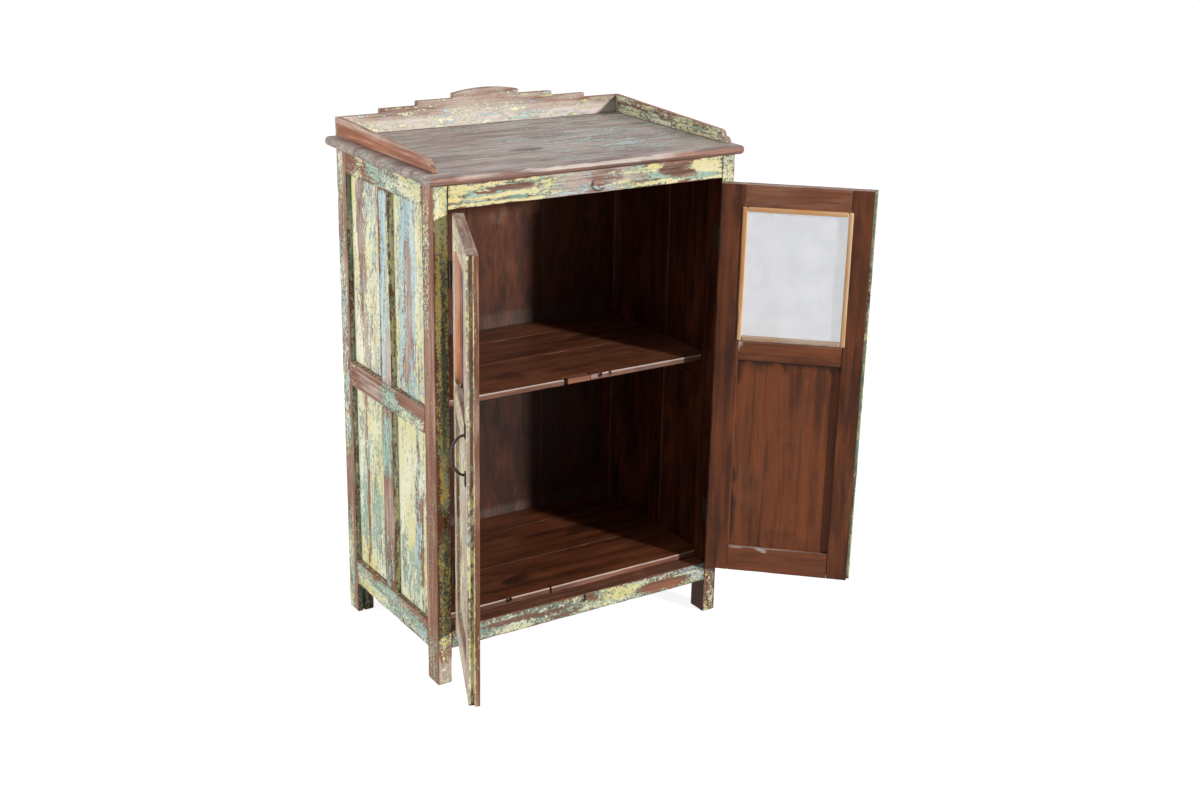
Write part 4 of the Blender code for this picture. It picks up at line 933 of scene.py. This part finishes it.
# Outer face of a gallery side; the dark band along its foot is a painted shadow where it stands on the top
GALLERY_OUT = """
    warm .8 pale .15 dirt .15; 0 1 .7 1 ~.2: pale .6; 0 1 0 .12 ~.1: dirt .5; .1 .5 .3 .6 ~.3: dirt .3
"""
GALLERY_IN = "y .55 t .35 pale .3; 0 1 0 .5: t .6"
GALLERY_BACK = {
    "-y": """
        pale .8 y .16 s .18; 0 1 0 .38 ~.2: pale 1.2; .05 .34 .36 1 ~.15: pale .4;
        .4 .62 .62 1 ~.15: pale .55; .62 1 .3 1 ~.15: pale .5; .28 .62 .1 .6 ~.15: y .34;
        .62 1 .1 .4 ~.1: y .22; .05 .5 0 .2 ~.1: y .45; .5 .9 0 .2 ~.1: t .3; oval .345 .4 .02 .1: s .7 y 0;
        oval .84 .5 .02 .15: warm .8 pale .2; oval .845 .42 .008 .06: dirt .6
    """,
    "+z": "pale .3 dirt .4",
    "*": "pale .4 warm .3 t .1",
}


def make_top():
    nose = (NOSING, NOSING, NOSING)
    for label, near, far, seed in (
        ("front", nose, (NOSING, TOP_SEAM, NOSING), 110),
        ("back", (NOSING, TOP_SEAM, NOSING), (NOSING, TOP_BACK, NOSING), 117),
    ):
        box = extent(f"top_{label}_board")
        board = plank(*box, TOP_LOOKS, 0, (near, far), 0.008, seed=seed, chips=0.15, wear=0.4)
        piece(f"top_{label}_plank", [board], TOP, "top_wood", f"top_{label}_board")


WELD, FLAT, SHARP = 0.00002, math.radians(1), math.radians(25)  # for points, faces and arrises
THIN = 0.02  # no grid lines across less than this


def from_cad(node, looks, grain, seed, bevel=0.0011, pitch=0.006, wear=0.6):
    """A CAD node's own shape with its arrises eased and enough points to carry paint."""
    shape = bmesh.new()
    shape.from_mesh(NODES[node].data)
    bmesh.ops.remove_doubles(shape, verts=shape.verts, dist=WELD)
    bmesh.ops.dissolve_limit(shape, angle_limit=FLAT, verts=shape.verts, edges=shape.edges)
    sharp = [e for e in shape.edges if len(e.link_faces) == 2 and e.calc_face_angle() > SHARP]
    bmesh.ops.bevel(
        shape, geom=sharp, offset=bevel, segments=2, profile=0.6, affect="EDGES", clamp_overlap=True
    )
    low = np.min([v.co for v in shape.verts], axis=0)
    high = np.max([v.co for v in shape.verts], axis=0)
    for axis in range(3):
        if high[axis] - low[axis] < THIN:
            continue
        count = round((high[axis] - low[axis]) / (pitch * (1.6 if axis == grain else 1.0)))
        normal = Vector(np.eye(3)[axis])
        for line in np.linspace(low[axis], high[axis], count + 1)[1:-1]:
            geometry = shape.verts[:] + shape.edges[:] + shape.faces[:]
            bmesh.ops.bisect_plane(shape, geom=geometry, plane_co=normal * line, plane_no=normal, dist=1e-6)
    bmesh.ops.triangulate(shape, faces=[f for f in shape.faces if len(f.verts) > 4])
    shape.normal_update()
    points = np.array([v.co for v in shape.verts])
    facing = np.array([v.normal for v in shape.verts])
    faces = [[v.index for v in f.verts] for f in shape.faces]
    shape.free()
    points = points - facing * (0.0003 * noise(points, 30, seed))[:, None]
    edge = smooth((0.97 - np.abs(facing).max(1)) / 0.15)
    value, coords = dress(points, (low, high), facing, looks, grain, seed, wear, edge)
    return points, faces, value, coords


def make_gallery():
    for name, out, back, seed in (("left", "-x", "+x", 124), ("right", "+x", "-x", 125)):
        looks = {out: GALLERY_OUT, back: GALLERY_IN, "+z": "pale .45 warm .25", "*": "warm .5 pale .4"}
        board = from_cad(f"gallery_{name}", looks, 1, seed)
        piece(f"gallery_{name}_board", [board], PAINTED, "top_wood", f"gallery_{name}")
    board = from_cad("gallery_back", GALLERY_BACK, 0, 130)
    piece("gallery_back_board", [board], PAINTED, "top_wood", "gallery_back")


# Doors

DOOR_OUT = """
    t .28 s .2 y .36 pale .62 warm .3; .1 .4 0 .5 ~.1: y .6; .5 .8 0 1 ~.1: s .45; 0 1 .3 .5: y .5;
    .3 .7 .24 .3: dirt .5; 0 1 .94 1 ~.04: y .6; oval .3 .4 .12 .05: pale .1 y .05;
    oval .7 .2 .12 .06: pale .2
"""
DOOR_RAIL_OUT = "t .25 s .2 y .4 pale .65 warm .2"
DOOR_INSIDE = "stain .8 warm .5 pale .1"
DOOR_EDGE = "pale .55 t .12 s .16 stain .2 dirt .3"
STILE_IN = "stain .95 warm .3; .55 1 .3 .8: warm .5; .25 .6 .6 .95: dirt .25"
RAIL_IN = {
    "top": "stain .75 warm .8 pale .3",
    # The dark band along the middle rail's lower edge is painted shade
    "mid": """
        stain .75 warm .8; .95 1 .2 1 ~.04: stain .1 pale 1.4; 0 1 .8 1: pale .6; 0 1 0 .08 ~.06: dirt .6
    """,
    "bottom": """
        stain .75 warm .6; oval .62 .9 .026 .08: stain .2 pale 1.2; oval .68 .95 .03 .05: stain .2 pale 1.2;
        oval .57 .85 .01 .06: stain .2 pale 1.2; oval .9 .97 .07 .03: stain .2 pale 1.2;
        oval .66 .8 .06 .05: dirt .4
    """,
}
# Inside of a door panel. The darkening round its edges, and the thin dark lines where it meets rails and
# stiles, are painted shade from the frame together with dirt in the joints
PANEL_IN = """
    stain .85 warm .85; .1 .35 0 1 ~.1: warm 1; 0 .1 0 1 ~.1: dirt .16; .92 1 0 1 ~.1: dirt .25;
    oval .5 .06 .45 .06: dirt .5; oval .78 .3 .12 .1: dirt .3; oval .5 .96 .45 .05: dirt .45;
    spot .37 .5 .009 5: dirt .5; 0 1 .968 1 ~.015: dirt 1; 0 .045 0 1 ~.02: dirt .7;
    .955 1 0 1 ~.02: dirt .7
"""
LAP = 0.006  # width of the rebate where the doors meet
CHAMFER = 0.008  # round the window, on the outside
TENON, TENON_INSET = 0.006, 0.006  # how far a rail reaches into the stiles, and how much lower it is there
SLOT = (0.0078, 0.0132)  # the groove in stiles and rails, from the outer face
TONGUE = (0.0081, 0.0129)  # what goes into it
PANEL_MIDDLE, PANEL_HALF = 0.0105, 0.0025  # from the outer face, and half the thickness at the edge
FIELD_RISE, MARGIN, SLOPE = 0.005, 0.017, 0.030  # of the raised panel
STRIP = 0.0095  # width of the bead
GAUZE_GRID, GAUZE_HALF = (46, 60), 0.0001  # corners across and up a sheet, and half its thickness
GAUZE_HELD, GAUZE_FREE = 0.012, 0.03  # the sheet is flat so far in, and slack so much farther in
GAUZE_SLACK, CREASE_RISE = ((9, 0.004), (30, 0.0015)), 0.001  # waves per metre and their height
PANEL_ROOM, LAP_GAP = 0.0012, 0.0005  # round the panel in its groove, and half the gap at the lap
MORTISE_END, MORTISE_ROOM = 0.001, 0.0004  # past a tenon's end, and above and below it


class Door:
    """One door, in the closed frame of its body; side is -1 for the left and 1 for the right."""

    def __init__(self, name, side, seed):
        self.body, self.side, self.seed = f"{name}_door", side, seed
        self.hinge, self.meeting = self.box("hinge_stile"), self.box("meeting_stile")
        self.rails = {level: self.box(f"{level}_rail") for level in LEVELS}
        self.panel, self.screen = self.box("panel"), self.box("screen")
        self.outer, self.inner = self.hinge[0][1], self.hinge[1][1]
        self.opening = sorted(corner[0] for corner in (*self.hinge, *self.meeting))[1:3]
        self.window = (self.rails["mid"][1][2], self.rails["top"][0][2])
        self.slot = tuple(self.outer + depth for depth in SLOT)
        (x0, _, z0), (x1, _, z1) = self.panel
        room = PANEL_ROOM
        self.cuts = [cut((x0 - room, x1 + room), self.slot, (z0 - room, z1 + room))]
        (x0, y0, z0), (x1, _, z1) = self.screen
        self.cuts.append(cut((x0 - GAP, x1 + GAP), (y0 - GAP, FAR), (z0 - GAP, z1 + GAP)))

    def box(self, node):
        return extent(f"{self.body}_{node}")

    def piece(self, name, boards, material, slot, node):
        piece(f"{self.body}_{name}", boards, material, slot, f"{self.body}_{node}", body=self.body)

    def chamfered(self, y, flat):
        """The outer arris round the window slopes in to the gauze."""
        away = np.maximum(self.opening[0] - flat[:, 0], flat[:, 0] - self.opening[1])
        above = np.maximum(self.window[0] - flat[:, 2], flat[:, 2] - self.window[1])
        depth = np.clip(CHAMFER - np.maximum(np.maximum(away, above), 0), 0, None)
        depth = np.where((away > 0.0001 - CHAMFER) & (above > 0.0001 - CHAMFER), depth, 0)
        least = self.outer + depth + 0.05 * (flat[:, 1] - self.outer)
        return np.where(depth > 0, np.maximum(y, least), y)

    def raised(self, y, flat):
        """A field raised on the outside, with sloping margins."""
        middle = self.outer + PANEL_MIDDLE
        rise = FIELD_RISE * np.clip((inside(flat, self.panel) - MARGIN) / SLOPE, 0, 1)
        face = middle - PANEL_HALF - rise + (y - self.panel[0][1])
        return np.where(flat[:, 1] < middle - 0.001, face, y)

    def reveal(self):
        """The layout of a stile's edge towards the opening: fresh wood in the window, old paint below it."""
        low, high = ((z - self.hinge[0][2]) / (self.hinge[1][2] - self.hinge[0][2]) for z in self.window)
        return f"""{DOOR_INSIDE}; 0 1 {low} {high} ~.02: stain 0 warm 2 pale .35; spot .5 .5 .03 5: dirt .45;
            .55 1 0 {low} ~.03: stain 0 y .5 t .2 pale .7 warm .2; oval .8 .36 .3 .04: y .05 pale .1"""

    def make_stiles(self):
        shoulder = (self.outer + self.inner) / 2
        if self.side < 0:
            free, face, rim = self.meeting[1][0], "+x", ".42 .5"
            lap = cut((free - LAP, FAR), (-FAR, shoulder + LAP_GAP))
            lapped = "t .18 y .26 pale .45 warm .3 dirt .2; 0 1 0 .5: t .3 y .62 dirt 0"
        else:
            free, face, rim = self.meeting[0][0], "-x", ".5 .58"
            lap = cut((-FAR, free + LAP), (shoulder - LAP_GAP, FAR))
            lapped = "t .85 y .3 dirt .75"
        edge = f"y .08 t .08 pale .3 stain .4 warm .55; {rim} 0 1 ~.06: y .9 t .7"
        deep, inset = TENON + MORTISE_END, TENON_INSET - MORTISE_ROOM
        across = (self.opening[0] - deep, self.opening[1] + deep)
        mortises = [(low[2] + inset, high[2] - inset) for low, high in self.rails.values()]
        cuts = self.cuts + [cut(across, self.slot, mortise) for mortise in mortises]
        worn = self.reveal()
        looks = {"-y": DOOR_OUT, "+y": STILE_IN, "+z": DOOR_EDGE, "*": DOOR_INSIDE}
        meeting = {**looks, "+x": worn, "-x": worn, face: edge, "cut": lapped}
        stiles = (
            ("hinge", self.hinge, {**looks, face: worn}, cuts),
            ("meeting", self.meeting, meeting, cuts + [lap]),
        )
        fine = [(1, shoulder - 0.003, shoulder + 0.003)]
        for number, (label, box, looks, cuts) in enumerate(stiles):
            seed = self.seed + number
            board = plank(
                *box, looks, radius=0.0013, cuts=cuts, seed=seed, shape=self.chamfered, chips=0.6, fine=fine
            )
            self.piece(f"{label}_upright", [board], PAINTED, "stained_wood", f"{label}_stile")

    def make_rails(self):
        left, right = self.opening
        tongue = tuple(self.outer + depth for depth in TONGUE)
        looks = {"-y": DOOR_RAIL_OUT, "+z": DOOR_EDGE, "*": DOOR_INSIDE}
        for number, (level, (low, high)) in enumerate(self.rails.items()):
            start, end = (left - TENON, *low[1:]), (right + TENON, *high[1:])
            cuts = list(self.cuts)
            for x in ((-FAR, left + GAP), (right - GAP, FAR)):
                cuts += [cut(x, (-FAR, tongue[0])), cut(x, (tongue[1], FAR))]
                cuts += [cut(x, z=(-FAR, low[2] + TENON_INSET)), cut(x, z=(high[2] - TENON_INSET, FAR))]
            looks["+y"] = RAIL_IN[level]
            seed = self.seed + 5 + number
            board = plank(start, end, looks, 0, 0.0013, cuts=cuts, seed=seed, shape=self.chamfered, chips=0.5)
            self.piece(f"{level}_bar", [board], PAINTED, "stained_wood", f"{level}_rail")

    def make_field(self):
        looks = {"-y": DOOR_OUT, "+y": PANEL_IN, "*": DOOR_INSIDE}
        board = plank(
            *self.panel, looks, 2, 0.0006, 0.006, seed=self.seed + 11, wear=0.2, chips=0.2, shape=self.raised
        )
        self.piece("field", [board], PAINTED, "painted_wood", "panel")

    def make_beading(self):
        (x0, y0, z0), (x1, y1, z1) = self.box("bead")
        across = (x0 + STRIP + 0.0004, x1 - STRIP - 0.0004)
        clean, worn = "pale .25", "stain .25 pale .7 dirt .1"
        strips = []
        for number, (xs, zs, grain, look) in enumerate((
            ((x0, x0 + STRIP), (z0, z1), 2, clean),
            ((x1 - STRIP, x1), (z0, z1), 2, clean),
            (across, (z1 - STRIP, z1), 0, clean),
            (across, (z0, z0 + STRIP), 0, worn),
        )):
            low, high = (xs[0], y0, zs[0]), (xs[1], y1, zs[1])
            strips.append(plank(low, high, {"*": look}, grain, 0.0016, 0.004, seed=self.seed + 13 + number))
        self.piece("beading", strips, BEAD, "bead_wood", "bead")

    def make_gauze(self):
        """A sheet of gauze, a little creased, that stays between the rebate and the bead at its edges."""
        low, high = self.screen
        xs, zs = (np.linspace(low[a], high[a], count) for a, count in zip((0, 2), GAUZE_GRID))
        points, faces = lattice([xs, np.array([-GAUZE_HALF, GAUZE_HALF]), zs], ())
        at = points * (1, 0, 1)
        t, _, s = share(points, self.screen).T
        crease = np.exp(-(((s - 0.86 - 0.12 * t) / 0.02) ** 2))
        crease += np.exp(-(((s - 0.6) / 0.015) ** 2)) * (t < 0.6)
        wave = CREASE_RISE * crease
        for scale, slack in GAUZE_SLACK:
            wave += slack * (noise(at, scale, self.seed) - 0.5)
        free = smooth((inside(points, self.screen) - GAUZE_HELD) / GAUZE_FREE)
        points[:, 1] += (low[1] + high[1]) / 2 + wave * free
        value = np.zeros((len(points), len(CHANNELS)))
        value[:, DIRT_AND_SHADE] = 0.35 * np.exp(-(((t - 0.8) / 0.2) ** 2 + ((s - 0.05) / 0.12) ** 2))
        self.piece("gauze", [(points, faces, value, at)], GAUZE, "wire_gauze", "screen")


# Metal

HEAD = 12  # corners round a head
HEAD_RINGS = ((1.0, -0.8), (1.0, 0.35), (0.75, 0.8), (0.35, 1.0))  # shares of its radius and height
SCREW, DOOR_NAIL, HANDLE_NAIL = (0.0023, 0.0001), (0.0024, 0.0009), (0.0022, 0.0009)  # radius and height
FLOOR_NAIL, BACK_NAIL = (0.0028, 0.0012), (0.0026, 0.001)
DOOR_NAILS = ((0.2767, 0.7045), (0.278, 0.6335), (0.012, 0.914), (0.03, 0.897))  # from the pin, and z
HANDLE_NAIL_IN, HANDLE_OUT = 0.006, 0.0022  # from the handle's ends, and how far its plates stand out
FLOOR_NAIL_AT = (-0.1977, 0.003, 0.0048)  # x, and from the front and the top of the board
BACK_NAILS, BACK_NAIL_IN, BACK_NAIL_ROWS = 9, 0.03, (0.3, 0.75)  # in a row, from the ends, and up the rail
BACK_NAIL_STRAY, BACK_NAIL_SUNK = 0.004, 0.0003
KNUCKLE = 0.0032  # radius
PLATE_FROM, SCREWS_FROM = 0.006, 0.012  # from the pin
SCREW_PLACES = (0.17, 0.5, 0.83)  # up the plate


def dome(centre, normal, size):
    """A low round head, as of a nail or screw, standing on a face; size is its radius and height."""
    radius, height = size
    normal = Vector(normal).normalized()
    side = normal.orthogonal().normalized()
    up = normal.cross(side)
    points, faces = [], []
    for reach, rise in HEAD_RINGS:
        for k in range(HEAD):
            angle = k * math.tau / HEAD
            out = (side * math.cos(angle) + up * math.sin(angle)) * radius * reach
            points.append(Vector(centre) + out + normal * height * rise)
    last = HEAD * (len(HEAD_RINGS) - 1)
    for ring in range(0, last, HEAD):
        for k in range(HEAD):
            a, b = ring + k, ring + (k + 1) % HEAD
            faces.append([a, b, b + HEAD, a + HEAD])
    faces.append(list(range(last, last + HEAD)))
    faces.append(list(range(HEAD - 1, -1, -1)))
    points = np.array(points)
    return points, faces, np.zeros((len(points), len(CHANNELS))), points.copy()


def leaf_screws(node, way):
    """Three flush screws in the plate of a hinge leaf, on the side that shows when the door is open."""
    points = closed_points(node)
    pin = points[:, 1].min() + KNUCKLE
    plate = points[points[:, 1] > pin + PLATE_FROM]
    (left, near, low), (right, far, high) = plate.min(0), plate.max(0)
    x, y = right if way > 0 else left, max((near + far) / 2, pin + SCREWS_FROM)
    return [dome((x, y, low + (high - low) * up), (way, 0, 0), SCREW) for up in SCREW_PLACES]


def make_metal():
    """Nails and screws. The handle and the hinge leaves are shown as the CAD model has them."""
    for node, thing in NODES.items():
        if node == "door_handle" or node.endswith("_leaf"):
            thing.data.materials.clear()
            thing.data.materials.append(IRON if node == "door_handle" else PAINTED_IRON)
    for name, side in SIDES:
        body = f"{name}_door"
        for owner, kind, way in ((body, "door", side), ("carcass", "frame", -side)):
            leaves = [f"{name}_{level}_hinge_{kind}_leaf" for level in ("upper", "lower")]
            screws = [screw for leaf in leaves for screw in leaf_screws(leaf, way)]
            piece(f"{name}_hinge_screws_{kind}", screws, IRON, "black_iron", body=owner)
        inner = extent(f"{body}_hinge_stile")[1][1]
        nails = [dome((-side * x, inner, z), (0, 1, 0), DOOR_NAIL) for x, z in DOOR_NAILS]
        piece(f"{body}_nails", nails, IRON, "black_iron", body=body)
    low, high = extent("door_handle")
    x, y = (low[0] + high[0]) / 2, extent("left_door_hinge_stile")[0][1] - HANDLE_OUT
    feet = (low[2] + HANDLE_NAIL_IN, high[2] - HANDLE_NAIL_IN)
    nails = [dome((x, y, z), (0, -1, 0), HANDLE_NAIL) for z in feet]
    piece("handle_nails", nails, IRON, "black_iron", body="left_door")
    low, high = extent("floor_front_board")
    x, behind, below = FLOOR_NAIL_AT
    nails = [dome((x, low[1] + behind, high[2] - below), (0, -1, 0), FLOOR_NAIL)]
    (left, _, _), (_, y, _) = extent("back_board_left")
    right = extent("back_board_right")[1][0]
    for rail in ("top", "bottom"):
        low, high = extent(f"back_{rail}_rail")
        for x in np.linspace(left + BACK_NAIL_IN, right - BACK_NAIL_IN, BACK_NAILS):
            for z in (low[2] + up * (high[2] - low[2]) for up in BACK_NAIL_ROWS):
                aside = BACK_NAIL_STRAY * math.sin(90 * x + 400 * z)
                nails.append(dome((x + aside, y - BACK_NAIL_SUNK, z), (0, 1, 0), BACK_NAIL))
    piece("frame_nails", nails, IRON, "black_iron")


# Camera, floor and light

CAM_AT = Vector((-1.67716, -2.61905, 1.6008))
CAM_YAW, CAM_PITCH, CAM_ROLL = 33.0842, -19.3812, 1.2555  # degrees
CAM_FOCAL, PHOTO_WIDTH = 1661.67, 1200  # pixels
SENSOR = 36  # millimetres
SUN_WAY = Vector((-0.38, 0.89, -0.25))
STAGE_HALF, STAGE_BELOW = 14, 0.0005  # half the floor's side, and how far it lies under the legs


def make_camera():
    data = bpy.data.cameras.new("camera")
    data.sensor_width = SENSOR
    data.sensor_fit = "HORIZONTAL"
    data.lens = CAM_FOCAL * SENSOR / PHOTO_WIDTH
    data.clip_start, data.clip_end = 0.1, 60
    camera = bpy.data.objects.new("camera", data)
    camera.matrix_world = Matrix.Translation(CAM_AT)
    for angle, axis in ((-CAM_YAW, "Z"), (90 + CAM_PITCH, "X"), (CAM_ROLL, "Z")):
        camera.matrix_world = camera.matrix_world @ Matrix.Rotation(math.radians(angle), 4, axis)
    bpy.context.scene.collection.objects.link(camera)
    bpy.context.scene.camera = camera


def light(name, kind, way, at=(0, 0, 0), **settings):
    """A light that shines along a direction."""
    data = bpy.data.lights.new(name, kind)
    for key, setting in settings.items():
        setattr(data, key, setting)
    made = bpy.data.objects.new(name, data)
    made.location = at
    made.rotation_euler = Vector(way).to_track_quat("-Z", "Y").to_euler()
    bpy.context.scene.collection.objects.link(made)


def seen_directly(g):
    """1 for rays that show the background itself: from the camera, a reflection or through glass."""
    path = g.node("LightPath")
    camera, mirrored, through = (
        Wire(g, path.outputs[f"Is {kind} Ray"]) for kind in ("Camera", "Glossy", "Transmission")
    )
    return g.math("MAXIMUM", g.math("MAXIMUM", camera, mirrored), through)


def make_stage():
    scene = bpy.context.scene
    scene.view_settings.view_transform = "Standard"
    scene.world = bpy.data.worlds.new("studio")
    scene.world.use_nodes = True
    g = Graph(scene.world.node_tree)
    background = g.tree.nodes["Background"].inputs
    g.put(background["Color"], (1, 1, 1, 1))
    g.put(background["Strength"], g.ramp(seen_directly(g), 0.0, 1.0, 0.05, 1.0))

    shape = bmesh.new()
    bmesh.ops.create_grid(shape, x_segments=1, y_segments=1, size=STAGE_HALF)
    mesh = bpy.data.meshes.new("studio_floor")
    shape.to_mesh(mesh)
    shape.free()
    floor = bpy.data.objects.new("studio_floor", mesh)
    floor.location.z = -STAGE_BELOW
    scene.collection.objects.link(floor)
    g = Surface("studio_floor")
    mesh.materials.append(g.finish({
        "Base Color": (0.4, 0.4, 0.4, 1),
        "Roughness": 0.9,
        "Specular IOR Level": 0.0,
        "Emission Color": (1, 1, 1, 1),
        "Emission Strength": seen_directly(g) * 0.9,
    }))

    light("key", "SUN", SUN_WAY, energy=3.1, angle=math.radians(4.5))
    for name, at, aim, size, power in (
        ("fill", Vector((-3.2, 1.0, 1.3)), Vector((-0.05, 0.05, 0.55)), 2.2, 92),
        ("over", Vector((0.0, 0.2, 3.4)), Vector((0, 0.1, 0.5)), 3.0, 34),
    ):
        light(name, "AREA", aim - at, at, shape="RECTANGLE", size=size, size_y=size, energy=power)


make_camera()
make_stage()
for (label, way), first_seed in zip(SIDES, (200, 300)):
    make_side(label, way, first_seed)
make_cross_rails()
make_back()
make_shelves()
make_top()
make_gallery()
for (label, way), first_seed in zip(SIDES, (400, 450)):
    door = Door(label, way, first_seed)
    door.make_stiles()
    door.make_rails()
    door.make_field()
    door.make_beading()
    door.make_gauze()
make_metal()
